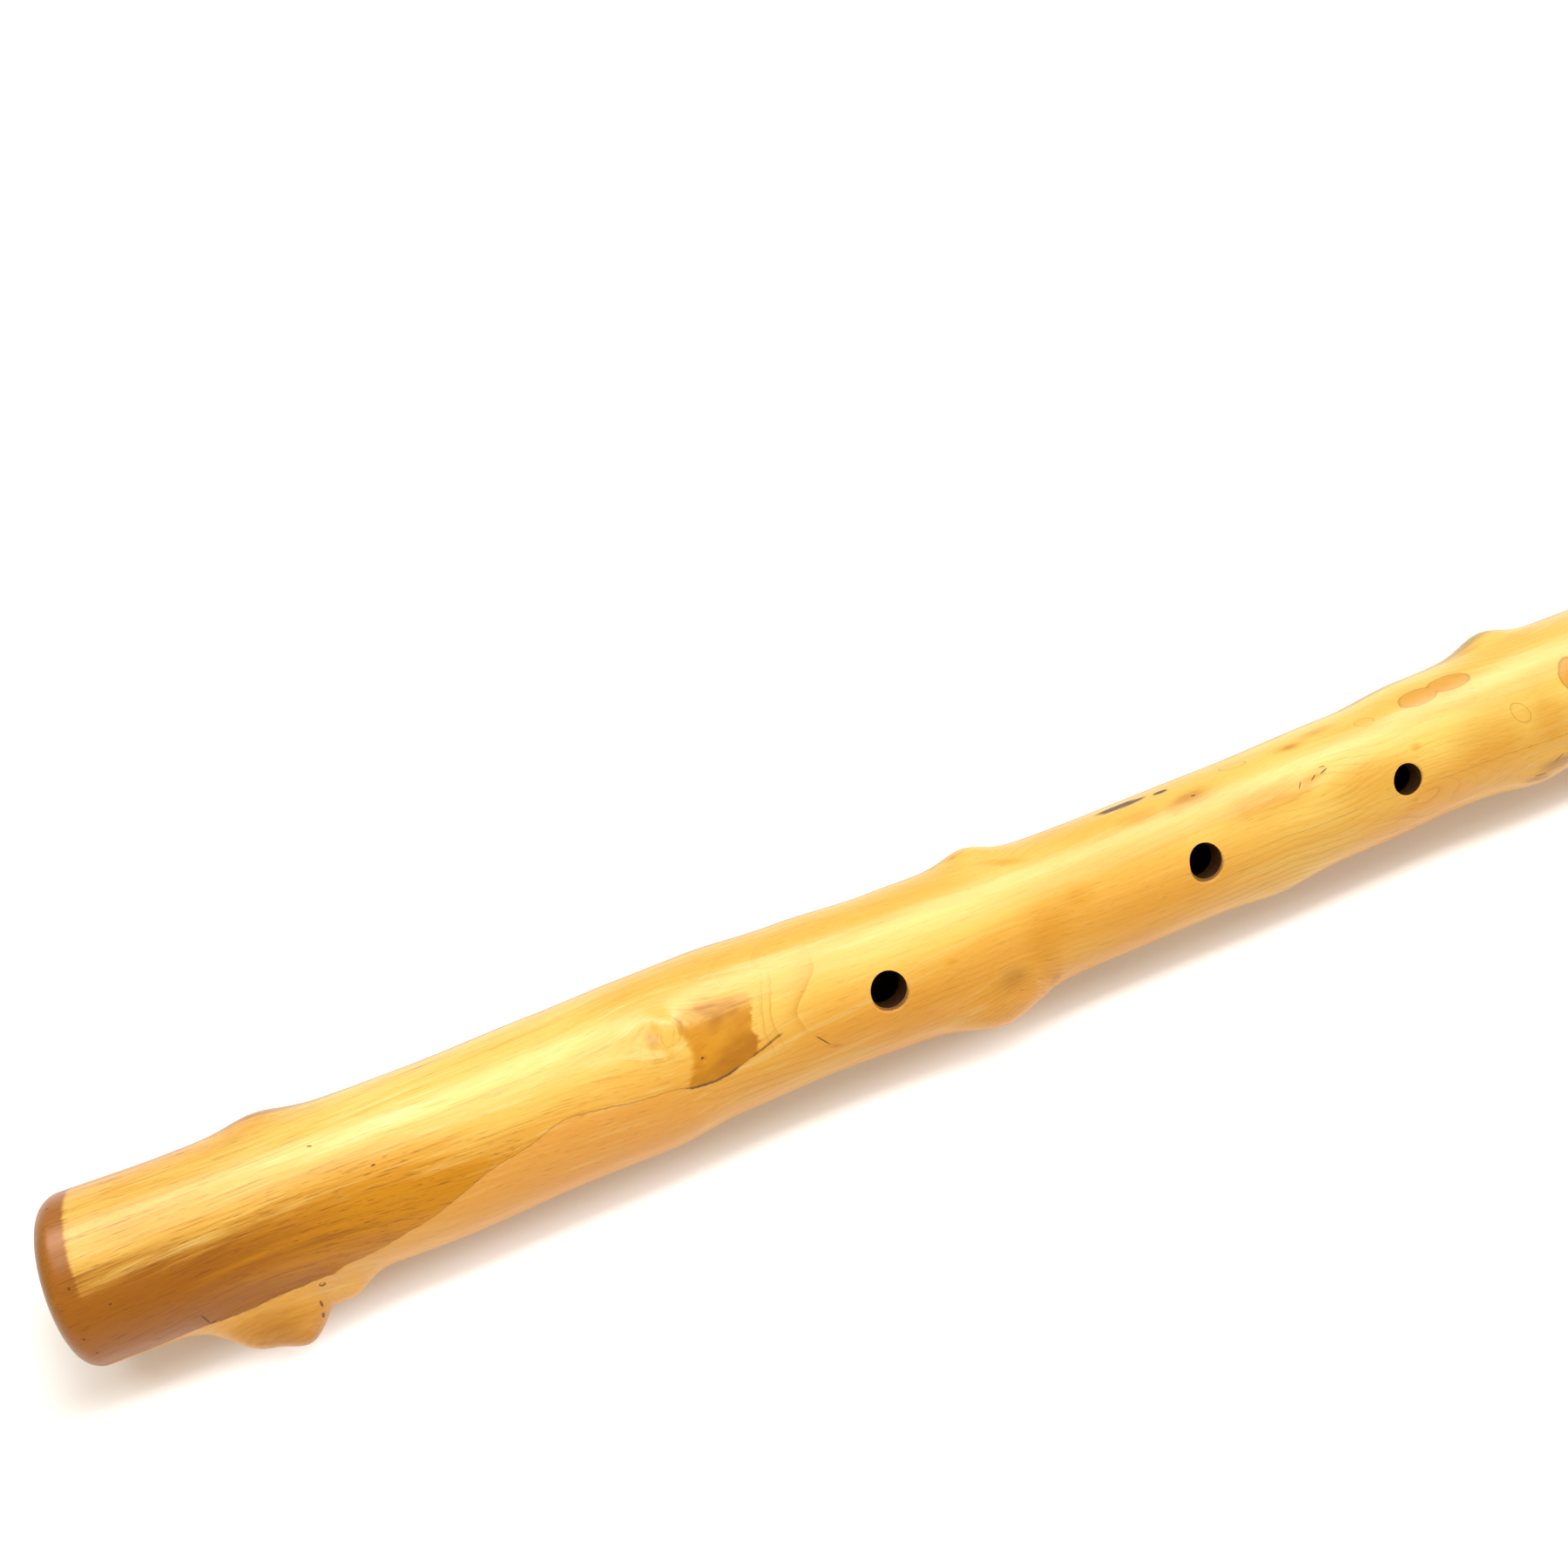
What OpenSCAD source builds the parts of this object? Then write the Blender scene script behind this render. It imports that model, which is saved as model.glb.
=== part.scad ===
// Fujara: a long overtone flute made from a natural branch.
// X runs along the main bore from the foot to the head, +Z is up and the table lies below.
// The origin is the centre of the bore in the foot face. All sizes are in millimetres.
// Angles round the bore start at +Y and turn towards +Z, so 90 is straight up.

/* [Main pipe] */
// Length of the main pipe
pipe_length = 1700; // [1400:10:1900]
// Diameter of the main bore
bore_d = 36; // [30:0.5:40]
// Outer radius of the wood along the straight upper part
upper_r = 27; // [25:0.5:30]
// Radius of the rounded rim at the foot
foot_rim_r = 7; // [3:0.5:8]
// Radius of the rounded rim at the head
head_rim_r = 3; // [1:0.5:4]
// Height of the bore above the table when the flute lies down
rest_height = 28; // [26:0.5:32]

/* [Finger holes] */
// Places of the three finger holes, from the foot
hole_x = [267, 387, 470]; // [200:1:560]
// Diameters of the three finger holes
hole_d = [12.5, 12.5, 11.5]; // [9:0.5:14]
// Side that the finger holes and the window face
front_angle = 130; // [110:1:150]

/* [Head] */
// Depth of the reamed head that holds the block and the plug
head_depth = 110; // [95:1:140]
// Radial step from the main bore to the reamed head
ream_step = 0.5; // [0.3:0.1:1.5]
// Length of the fipple block
block_length = 60; // [45:1:70]
// Height of the windway over the block
windway_h = 1.8; // [1:0.1:2.5]
// Length of the head plug inside the pipe
plug_depth = 18; // [12:1:25]
// Thickness of the head plug's cap
plug_cap = 8; // [5:0.5:12]
// Rounding on the caps of the plugs
cap_round = 3; // [1:0.5:4]

/* [Window] */
// Distance from the block to the labium edge
cut_up = 12; // [8:0.5:16]
// Width of the window
window_w = 16; // [12:0.5:20]
// Thickness of the labium edge above the bore
edge_t = 0.4; // [0.3:0.1:1]
// Length of the ramp that leads down to the labium edge
ramp_length = 38; // [25:1:45]

/* [Air duct] */
// Length of the air duct pipe
duct_length = 640; // [500:10:760]
// Outer radius of the air duct pipe
duct_r = 15; // [13:0.5:17]
// Diameter of the bore in the air duct pipe
duct_bore_d = 14; // [11:0.5:15]
// Gap between the wood of the two pipes
pipe_gap = 8; // [5:0.5:14]
// Radius of the rounded rim at the duct's lower end
duct_rim_r = 2.5; // [1:0.5:4]
// Length of the top plug inside the duct
top_plug_depth = 14; // [10:1:18]
// Thickness of the top plug's cap
top_plug_cap = 6; // [4:0.5:10]
// Length of the drain plug inside the duct
drain_depth = 22; // [14:1:30]
// Length of the drain plug's knob
drain_knob = 14; // [10:0.5:20]

/* [Mouthpiece] */
// Place of the mouthpiece, from the duct's lower end
mouth_place = 115; // [85:1:160]
// Diameter of the tenon that enters the duct's wall
tenon_d = 12.5; // [11:0.5:13]
// Diameter of the breath bore
breath_d = 8.5; // [6:0.5:9]
// Diameter of the shoulder that sits on the duct
shoulder_d = 22; // [19:0.5:25]
// Diameter of the waist
waist_d = 15; // [13:0.5:18]
// Diameter of the lip end
lip_d = 19; // [16:0.5:22]
// Length of the mouthpiece outside the duct
mouth_length = 58; // [45:1:75]

/* [Bridge] */
// Length of the bridge block along the pipes
bridge_length = 34; // [28:1:40]
// Width of the bridge block and the saddle across the pipes
bridge_w = 24; // [18:0.5:28]
// Outer diameter of the wind tube through the bridge
wind_d = 12; // [10:0.5:14]
// Bore of the wind tube
wind_bore = 9; // [6:0.5:9.5]
// Length of the lower saddle
saddle_length = 30; // [26:1:45]
// Distance of the saddle from the duct's lower end
saddle_place = 45; // [32:1:60]

/* [Straps] */
// Thickness of the leather
leather_t = 2.5; // [1.5:0.1:3.5]
// Width of the upper strap
upper_strap_w = 26; // [18:0.5:28]
// Width of the lower strap
lower_strap_w = 22; // [16:0.5:26]
// Distance of the upper strap's middle from the head end
upper_strap_place = 72; // [68:1:74]
// Angles of the overlapped strap end, from and to
lap = [62, 122]; // [50:1:180]
// Diameter of a tack's head
tack_head_d = 7; // [5:0.5:8]
// Height of a tack's domed head
tack_head_h = 2; // [1.5:0.1:2.5]
// Diameter of a tack's shank
tack_d = 1.6; // [1.2:0.1:2]
// Length of a tack's shank
tack_length = 10; // [8:0.5:11]

/* [Fits] */
// Radial clearance of a glued joint
glue_gap = 0.05; // [0.02:0.01:0.1]
// Radial clearance of a tenon that pulls out
slide_gap = 0.08; // [0.05:0.01:0.1]
// Gap between a seat and the round wood it holds
seat_gap = 0.3; // [0.2:0.05:0.5]

/* [Hidden] */

$fn = 64;
bore_r = bore_d / 2;
ream_r = bore_r + ream_step;
block_x = pipe_length - head_depth;
chamber_x = block_x + block_length;
plug_x = pipe_length - plug_depth;
wind_x = (chamber_x + plug_x) / 2;
duct_bore_r = duct_bore_d / 2;
duct_x = pipe_length - duct_length;
axis_gap = upper_r + pipe_gap + duct_r;
duct_angle = -asin((rest_height - duct_r) / axis_gap);
duct_y = axis_gap * cos(duct_angle);
duct_z = axis_gap * sin(duct_angle);
mouth_x = duct_x + mouth_place;
saddle_x = duct_x + saddle_place;
upper_strap_x = pipe_length - upper_strap_place;
flat_depth = 2;
mouth_seat = duct_r - flat_depth;
tenon_reach = mouth_seat - duct_bore_r;
cut = 1;
through = 80;

// The branch: distance from the foot, radius, and how far the wood's middle sits off the bore.
branch = [[0, 27.2, -1.6], [37, 27.2, -0.6], [117, 28.6, 2.1], [157, 28.5, 1.2], [187, 29, 1],
          [212, 28, -0.2], [242, 26.9, 0.3], [277, 26.6, 1.8], [352, 25.1, 2.2],
          [407, 25.1, 1.7], [462, 25.2, 0.5], [497, 26, -1.5], [557, 27.6, -2],
          [647, 28, -1], [767, 28, 1], [907, 27.5, 0], [1007, upper_r, 0]];
// Side towards which the wood's middle sits off the bore
bow_angle = 200;

// Rim radii, never more than the walls can carry
foot_rim = min(foot_rim_r, 0.7 * (branch[0][1] - bore_r));
head_rim = min(head_rim_r, 0.7 * (upper_r - ream_r));

// Knots: distance from the foot, angle, height, half length in mm and half width in degrees.
knots = [[67, 26, 2.6, 11, 22], [46.5, 206, 10.3, 9.6, 21], [61.5, 206, 14.6, 10, 20],
         [78.5, 200, 5.2, 7.2, 16], [194, 101, 1.6, 7, 13], [306, 190, 6.4, 16, 28],
         [309, 163, 1.6, 8, 14], [314, 35, 3.9, 10, 18], [419, 196, 1.5, 15, 25],
         [531, 186, 2.4, 12, 25], [535, 30, 4.4, 11, 20], [697, 75, 4, 14, 20],
         [827, 190, 6, 16, 24], [942, 110, 4, 12, 20]];
// Knots of the upper part, their distance counted back from the head end
upper_knots = [[470, 195, 5, 14, 22], [370, 85, 4, 12, 18], [250, 178, 5, 14, 20]];
// Knots of the duct's own branch, their distance counted from its lower end
duct_knots = [[205, 20, 2.2, 10, 30], [330, 330, 1.8, 9, 28], [455, 25, 2.4, 10, 30]];

// Where the wood is worked round for a strap or a block: the middle and half the length
seats = [[saddle_x, max(saddle_length, lower_strap_w) / 2 + 5],
         [upper_strap_x, upper_strap_w / 2 + 5], [wind_x, bridge_length / 2 + 5]];
// Length over which a worked seat runs out into the natural wood
seat_run = 25;

// Spacing of the rings along the lower part, the upper part and the duct
fine_step = 7;
coarse_step = 20;
duct_step = 16;
// Where the closer spacing ends
fine_end = 574;
pipe_sides = 28;
duct_sides = 20;
rim_steps = 5;
arc_step = 6;

// A smooth step from 0 to 1
function ease(t) = t * t * (3 - 2 * t);

// Value in the given column of the branch list at the distance x
function branch_at(x, col, i = 0) =
    i >= len(branch) - 1 ? branch[i][col]
    : x < branch[i + 1][0] ? branch[i][col] + (branch[i + 1][col] - branch[i][col])
        * ease((x - branch[i][0]) / (branch[i + 1][0] - branch[i][0]))
    : branch_at(x, col, i + 1);

// Signed difference of two angles, from -180 to 180
function turn(a, b) = ((a - b + 540) % 360) - 180;

// Height that one knot adds at a distance and an angle
function knot_rise(k, x, a) =
    k[2] * exp(-pow((x - k[0]) / k[3], 2) - pow(turn(a, k[1]) / k[4], 2));

// Height that a list of knots adds
function rise(list, x, a, i = 0) =
    i >= len(list) ? 0 : knot_rise(list[i], x, a) + rise(list, x, a, i + 1);

// How much a rounded rim of radius r takes off at the distance d from the end
function rim_drop(d, r) = d >= r ? 0 : r - sqrt(r * r - (r - d) * (r - d));

// How much of the natural shape is left at x: 0 on a seat, 1 well away from all of them
function natural(x) =
    ease(max(0, min([for (s = seats) min(1, (abs(x - s[0]) - s[1]) / seat_run)])));

// Radius of the main pipe's wood round its own middle
function skin_r(x, a) =
    upper_r - rim_drop(x, foot_rim) - rim_drop(pipe_length - x, head_rim)
    + natural(x) * (branch_at(x, 1) - upper_r
                    + rise(knots, x, a) + rise(upper_knots, pipe_length - x, a));

// How far the wood's middle sits off the bore
function bow(x) = natural(x) * branch_at(x, 2);

// A point of the main pipe's skin
function skin_point(x, a) =
    [x, skin_r(x, a) * cos(a) + bow(x) * cos(bow_angle),
        skin_r(x, a) * sin(a) + bow(x) * sin(bow_angle)];

// A point of the duct's skin, with x counted from the duct's lower end
function duct_point(x, a) =
    let (r = duct_r + natural(duct_x + x) * rise(duct_knots, x, a)
             - rim_drop(x, duct_rim_r) - rim_drop(duct_length - x, duct_rim_r))
    [duct_x + x, duct_y + r * cos(a), duct_z + r * sin(a)];

// Distances at which a rounded rim of radius r gets its rings
function rim_rings(r) = [for (i = [0 : rim_steps - 1]) r * (1 - cos(90 * i / rim_steps))];

// Evenly spaced distances from a to b, both ends included
function spread(a, b, step) =
    let (n = max(1, round(abs(b - a) / step))) [for (i = [0 : n]) a + (b - a) * i / n];

// The same list without its last value
function but_last(list) = [for (i = [0 : len(list) - 2]) list[i]];

// The list read from its end
function backwards(list) = [for (i = [len(list) - 1 : -1 : 0]) list[i]];

pipe_rings = concat(rim_rings(foot_rim), but_last(spread(foot_rim, fine_end, fine_step)),
                    spread(fine_end, pipe_length - head_rim, coarse_step),
                    [for (d = backwards(rim_rings(head_rim))) pipe_length - d]);
duct_rings = concat(rim_rings(duct_rim_r),
                    spread(duct_rim_r, duct_length - duct_rim_r, duct_step),
                    [for (d = backwards(rim_rings(duct_rim_r))) duct_length - d]);

// Closed skin through rings of points, with a middle point in each end face
module lofted(points, sides, first, last) {
    n = len(points) / sides;
    foot = len(points);
    head = foot + 1;
    wall = [for (i = [0 : n - 2], j = [0 : sides - 1], half = [0, 1])
        let (k = (j + 1) % sides, a = i * sides + j, b = i * sides + k,
             c = a + sides, d = b + sides)
        half == 0 ? [a, b, d] : [a, d, c]];
    ends = [for (j = [0 : sides - 1], end = [0, 1])
        let (k = (j + 1) % sides, m = (n - 1) * sides)
        end == 0 ? [foot, k, j] : [head, m + j, m + k]];
    polyhedron(points = concat(points, [first, last]), faces = concat(wall, ends), convexity = 6);
}

// Turns what points along +Y so that it points at an angle round the main bore
module facing(a) { rotate([a, 0, 0]) children(); }

// A cylinder along +Y, from one distance to another
module radial(r, from, to) {
    translate([0, from, 0]) rotate([-90, 0, 0]) cylinder(r = r, h = to - from);
}

// A cylinder along +X, from one distance to another
module along(r, from, to) {
    translate([from, 0, 0]) rotate([0, 90, 0]) cylinder(r = r, h = to - from);
}

// Moves the main axis onto the duct's axis
module at_duct() { translate([0, duct_y, duct_z]) children(); }

// Places of a strap's four tacks: along the pipe and round it
function tack_places(strap_x, strap_w) =
    [for (dx = [-1, 1], t = [0.3, 0.7])
        [strap_x + dx * strap_w / 4, lap[0] + t * (lap[1] - lap[0])]];

// Radius on which the tack heads sit
tack_seat = upper_r + seat_gap + 2 * leather_t;

// Holes for the tacks of one strap
module tack_holes(strap_x, strap_w) {
    for (p = tack_places(strap_x, strap_w))
        translate([p[0], 0, 0]) facing(p[1])
            radial(tack_d / 2 + glue_gap, tack_seat - tack_length - glue_gap, tack_seat + cut);
}

// Main pipe: a branch with a straight bore, three finger holes and the window
module main_pipe() {
    color("#e2a845")
    difference() {
        lofted([for (x = pipe_rings, j = [0 : pipe_sides - 1])
                    skin_point(x, 360 * j / pipe_sides)],
               pipe_sides, [0, 0, 0], [pipe_length, 0, 0]);
        along(bore_r, -cut, block_x + cut);
        along(ream_r, block_x, pipe_length + cut);
        for (i = [0 : len(hole_x) - 1])
            translate([hole_x[i], 0, 0]) facing(front_angle)
                radial(hole_d[i] / 2, 0, through);
        facing(front_angle) window();
        translate([wind_x, 0, 0]) facing(duct_angle) radial(wind_d / 2 + glue_gap, 0, through);
        tack_holes(upper_strap_x, upper_strap_w);
        tack_holes(saddle_x, lower_strap_w);
    }
}

// What is cut away for the window and for the ramp of the labium
module window() {
    edge_x = block_x - cut_up;
    edge_r = bore_r + edge_t;
    ramp_rise = upper_r + cut - edge_r;
    translate([edge_x, 0, -window_w / 2]) cube([cut_up, through, window_w]);
    translate([0, 0, -window_w / 2]) linear_extrude(window_w)
        polygon([[edge_x + cut, edge_r], [edge_x, edge_r],
                 [edge_x - ramp_length, edge_r + ramp_rise], [edge_x - ramp_length, through],
                 [edge_x + cut, through]]);
}

// Fipple block: fills the head below the windway
module fipple_block() {
    color("#b97a3c")
    difference() {
        along(ream_r - glue_gap, block_x, chamber_x);
        facing(front_angle)
            translate([block_x - cut, ream_r - windway_h, -bore_d])
                cube([block_length + 2 * cut, through, 2 * bore_d]);
    }
}

// Turned plug along +X from x = 0: a tenon, then a cap with a rounded rim
module turned_plug(tenon_r, depth, cap_r, cap_h) {
    rotate([0, 90, 0]) rotate_extrude()
        polygon(concat([[0, -depth], [tenon_r, -depth], [tenon_r, 0], [cap_r, 0]],
                       [for (t = [0 : 15 : 90])
                           [cap_r - cap_round + cap_round * cos(t),
                            cap_h - cap_round + cap_round * sin(t)]],
                       [[0, cap_h]]));
}

// Head plug: closes the top of the main pipe
module head_plug() {
    color("#9c6230")
    translate([pipe_length, 0, 0])
        turned_plug(ream_r - glue_gap, plug_depth, upper_r - head_rim / 2, plug_cap);
}

// Air duct: a thinner branch beside the upper part of the main pipe
module duct_pipe() {
    color("#d99b3e")
    difference() {
        lofted([for (x = duct_rings, j = [0 : duct_sides - 1])
                    duct_point(x, 360 * j / duct_sides)],
               duct_sides, [duct_x, duct_y, duct_z], [pipe_length, duct_y, duct_z]);
        at_duct() along(duct_bore_r, duct_x - cut, pipe_length + cut);
        at_duct() translate([mouth_x, 0, 0]) radial(tenon_d / 2 + slide_gap, 0, through);
        at_duct() translate([mouth_x, 0, 0]) radial(shoulder_d / 2 + cut, mouth_seat, through);
        translate([wind_x, 0, 0]) facing(duct_angle)
            radial(wind_d / 2 + glue_gap, upper_r, axis_gap);
    }
}

// Top plug of the duct
module duct_top_plug() {
    color("#9c6230")
    at_duct() translate([pipe_length, 0, 0])
        turned_plug(duct_bore_r - glue_gap, top_plug_depth, duct_r - duct_rim_r / 2, top_plug_cap);
}

// Drain plug: pulls out of the duct's lower end to let the moisture out
module drain_plug() {
    color("#9c6230")
    at_duct() translate([duct_x, 0, 0]) mirror([1, 0, 0])
        turned_plug(duct_bore_r - slide_gap, drain_depth, duct_r - duct_rim_r / 2, drain_knob);
}

// Mouthpiece: a turned tube whose short tenon enters the duct's wall
module mouthpiece() {
    color("#9c6230")
    at_duct() translate([mouth_x, mouth_seat, 0]) rotate([-90, 0, 0])
        rotate_extrude() mouth_outline();
}

// Half outline of the mouthpiece, with its axis on X = 0 and its shoulder on Y = 0
module mouth_outline() {
    r = breath_d / 2;
    waist_y = mouth_length * 0.45;
    lip_round = (lip_d / 2 - r) / 2;
    polygon(concat(
        [[r, -tenon_reach], [tenon_d / 2, -tenon_reach], [tenon_d / 2, 0], [shoulder_d / 2, 0],
         [shoulder_d / 2, 4]],
        [for (t = [1 : 8]) let (e = ease(t / 8))
            [shoulder_d / 2 + (waist_d - shoulder_d) / 2 * e, 4 + (waist_y - 4) * t / 8]],
        [for (t = [1 : 8]) let (e = ease(t / 8))
            [waist_d / 2 + (lip_d - waist_d) / 2 * e,
             waist_y + (mouth_length - lip_round - waist_y) * t / 8]],
        [for (t = [15 : 15 : 180])
            [lip_d / 2 - lip_round + lip_round * cos(t),
             mouth_length - lip_round + lip_round * sin(t)]]));
}

// A block between the two pipes, hollowed to sit against both
module seated_block(middle, length) {
    difference() {
        facing(duct_angle)
            translate([middle - length / 2, upper_r - bridge_w / 4, -bridge_w / 2])
                cube([length, axis_gap - upper_r, bridge_w]);
        along(upper_r + seat_gap, 0, pipe_length);
        at_duct() along(duct_r + seat_gap, 0, pipe_length);
    }
}

// Bridge block: carries the wind from the duct to the head
module bridge_block() {
    color("#b97a3c")
    difference() {
        seated_block(wind_x, bridge_length);
        translate([wind_x, 0, 0]) facing(duct_angle) radial(wind_d / 2 + glue_gap, 0, through);
    }
}

// Wind tube: lines the passage through the bridge and both walls
module wind_tube() {
    color("#c98d45")
    translate([wind_x, 0, 0]) facing(duct_angle) difference() {
        radial(wind_d / 2, ream_r - cut, axis_gap - duct_bore_r + cut);
        radial(wind_bore / 2, 0, through);
    }
}

// Lower saddle: keeps the two pipes apart under the lower strap
module lower_saddle() {
    color("#b97a3c")
    seated_block(saddle_x, saddle_length);
}

// Outline of a belt round both pipes, grown outwards, drawn across the pipes
module belt_outline(grow) {
    r1 = upper_r + seat_gap + grow;
    r2 = duct_r + seat_gap + grow;
    tangent = acos((r1 - r2) / axis_gap);
    polygon(concat(arc(tangent, 360 - tangent, r1),
                   [for (p = arc(-tangent, tangent, r2)) p + [axis_gap, 0]]));
}

// Points of an arc round the origin
function arc(from, to, r) =
    [for (a = spread(from, to, arc_step)) r * [cos(a), sin(a)]];

// Leather strap round both pipes, its end lapped over the main pipe and tacked down
module strap(strap_x, strap_w) {
    lap_from = lap[0] - duct_angle;
    lap_to = lap[1] - duct_angle;
    color("#6b3f22")
    difference() {
        translate([strap_x - strap_w / 2, 0, 0]) facing(duct_angle)
            rotate([90, 0, 90]) linear_extrude(strap_w) {
                difference() {
                    belt_outline(leather_t);
                    belt_outline(0);
                }
                polygon(concat(arc(lap_from, lap_to, tack_seat),
                               arc(lap_to, lap_from, tack_seat - leather_t * 1.5)));
            }
        tack_holes(strap_x, strap_w);
    }
}

// Tacks of one strap: a round shank under a domed head
module tacks(strap_x, strap_w) {
    dome_r = (pow(tack_head_d / 2, 2) + pow(tack_head_h, 2)) / (2 * tack_head_h);
    color("#c9a24a")
    for (p = tack_places(strap_x, strap_w))
        translate([p[0], 0, 0]) facing(p[1]) {
            radial(tack_d / 2, tack_seat - tack_length, tack_seat + tack_head_h / 2);
            intersection() {
                translate([0, tack_seat + tack_head_h - dome_r, 0]) sphere(r = dome_r);
                radial(tack_head_d, tack_seat, tack_seat + tack_head_h + cut);
            }
        }
}

module upper_strap() { strap(upper_strap_x, upper_strap_w); }
module lower_strap() { strap(saddle_x, lower_strap_w); }
module upper_tacks() { tacks(upper_strap_x, upper_strap_w); }
module lower_tacks() { tacks(saddle_x, lower_strap_w); }

main_pipe();
fipple_block();
head_plug();
duct_pipe();
duct_top_plug();
drain_plug();
mouthpiece();
bridge_block();
wind_tube();
lower_saddle();
upper_strap();
lower_strap();
upper_tacks();
lower_tacks();
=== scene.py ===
"""A fujara, the long overtone flute made from a branch: its looks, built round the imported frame."""
import logging
import math
from dataclasses import dataclass
from enum import Enum
from functools import partial
from typing import Any, Callable, Sequence

import bpy
import numpy as np
from mathutils import Matrix, Vector


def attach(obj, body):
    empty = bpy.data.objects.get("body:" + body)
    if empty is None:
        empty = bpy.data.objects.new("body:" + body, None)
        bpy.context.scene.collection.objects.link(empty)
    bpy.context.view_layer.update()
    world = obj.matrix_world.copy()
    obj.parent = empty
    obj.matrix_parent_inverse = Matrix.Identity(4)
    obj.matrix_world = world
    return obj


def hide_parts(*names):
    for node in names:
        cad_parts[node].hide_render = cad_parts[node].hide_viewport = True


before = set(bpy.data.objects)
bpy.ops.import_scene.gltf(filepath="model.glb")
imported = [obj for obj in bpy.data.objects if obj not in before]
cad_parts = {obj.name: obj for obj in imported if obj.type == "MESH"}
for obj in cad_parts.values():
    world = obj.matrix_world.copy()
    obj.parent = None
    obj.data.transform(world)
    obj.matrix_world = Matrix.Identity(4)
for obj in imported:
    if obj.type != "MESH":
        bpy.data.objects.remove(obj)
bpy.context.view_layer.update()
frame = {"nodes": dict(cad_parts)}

LOG = logging.getLogger("fujara")
MM = 0.001
Points = np.ndarray
Socket = bpy.types.NodeSocket


# Sizes shared by several pieces, in millimetres and degrees, as in the part's source. X is the
# distance from the foot, and an angle runs round the bore from +Y towards +Z.
PIPE_LENGTH = 1700.0
BORE_R = 18.0
REAM_R = 18.5               # the bore above the windway, reamed for the block and the plug
UPPER_R = 27.0              # the upper part's plain radius
BLOCK_X = 1590.0            # lower face of the fipple block
WIND_X = 1666.0             # where the wind crosses from the duct
FRONT = 130.0               # angle of the finger holes and the window
DUCT_X = 1060.0             # lower end of the duct
DUCT_LENGTH = 640.0
DUCT_R = 15.0
DUCT_BORE_R = 7.0
AXIS_GAP = 50.0             # between the middles of the two pipes
DUCT_Z = -13.0
DUCT_Y = round(math.sqrt(AXIS_GAP ** 2 - DUCT_Z ** 2), 4)
DUCT_SIDE = round(math.degrees(math.atan2(DUCT_Z, DUCT_Y)), 3)
MOUTH_X = 1175.0
MOUTH_SEAT = 13.0           # from the duct's middle to the mouthpiece's shoulder
SADDLE_X = 1105.0
UPPER_STRAP_X = 1628.0
SEAT_GAP = 0.3              # between a pipe and what is strapped to it
LEATHER = 2.5
PASSAGE_R = 6.05            # the wind passage in the bridge block and the duct
UNROLL_R = 27.0             # radius at which marks on the skin are measured
SEAM_SIDE = -70.0           # where the rolled sheet's edges meet
PAST = 5.0                  # how far a cutter runs past an end
BEYOND = 60.0               # further from the bore than any wood


# ---------------------------------------------------------------- small tools

def linear(code: str) -> tuple[float, float, float, float]:
    """Turns an sRGB hex colour into Blender's linear colour.

    Args:
        code: the colour as "#RRGGBB".

    Returns:
        The linear red, green, blue and alpha.
    """
    parts = [int(code[i:i + 2], 16) / 255 for i in (1, 3, 5)]
    return tuple(c / 12.92 if c <= 0.04045 else ((c + 0.055) / 1.055) ** 2.4
                 for c in parts) + (1.0,)


def put(tree: bpy.types.NodeTree, kind: str, *values: Any, out: int = 0,
        **settings: Any) -> Socket:
    """Adds one node with its settings and links.

    Args:
        tree: the node tree that gets the node.
        kind: the node's type without the "ShaderNode" in front.
        values: its inputs in their order, or one dict of them by name or number; each is a
            value or another node's output.
        out: number of the output that is wanted.
        settings: properties of the node itself.

    Returns:
        The wanted output socket.
    """
    node = tree.nodes.new("ShaderNode" + kind)
    for key, value in settings.items():
        setattr(node, key, value)
    given = values[0] if values and isinstance(values[0], dict) else dict(enumerate(values))
    for key, value in given.items():
        if isinstance(value, bpy.types.NodeSocket):
            tree.links.new(value, node.inputs[key])
        else:
            node.inputs[key].default_value = value
    return node.outputs[out]


# Settings of nodes that the finishes use often.
TIMES = {"operation": "MULTIPLY"}
PLUS = {"operation": "ADD"}
LESS = {"operation": "SUBTRACT"}
LINE = {"operation": "MULTIPLY_ADD"}
SOFTLY = {"interpolation_type": "SMOOTHSTEP"}
COLOURS = {"out": 2, "data_type": "RGBA"}


def deselect() -> None:
    """Leaves nothing selected, so that an operator acts on the new piece alone."""
    bpy.ops.object.select_all(action="DESELECT")


def pick(piece: bpy.types.Object) -> None:
    """Makes one piece the only selected and the active one.

    Args:
        piece: the piece that the next operator acts on.
    """
    deselect()
    piece.select_set(True)
    bpy.context.view_layer.objects.active = piece


def coordinates(piece: bpy.types.Object) -> Points:
    """Reads a piece's vertices.

    Args:
        piece: the piece.

    Returns:
        Rows of x, y, z in metres.
    """
    flat = np.empty(len(piece.data.vertices) * 3)
    piece.data.vertices.foreach_get("co", flat)
    return flat.reshape(-1, 3)


def move_to(piece: bpy.types.Object, points: Points) -> None:
    """Moves the piece's vertices to the given rows of x, y, z in metres."""
    piece.data.vertices.foreach_set("co", np.ascontiguousarray(points).ravel())
    piece.data.update()


def ease(t: Any) -> Any:
    """A smooth step from 0 to 1."""
    return t * t * (3 - 2 * t)


def step(low: float, high: float, value: Any) -> Any:
    """A smooth step of the value from 0 at low to 1 at high."""
    return ease(np.clip((value - low) / (high - low), 0, 1))


def turn(a: Any, b: float) -> Any:
    """Signed difference of two angles, from -180 to 180."""
    return (a - b + 540) % 360 - 180


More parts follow.
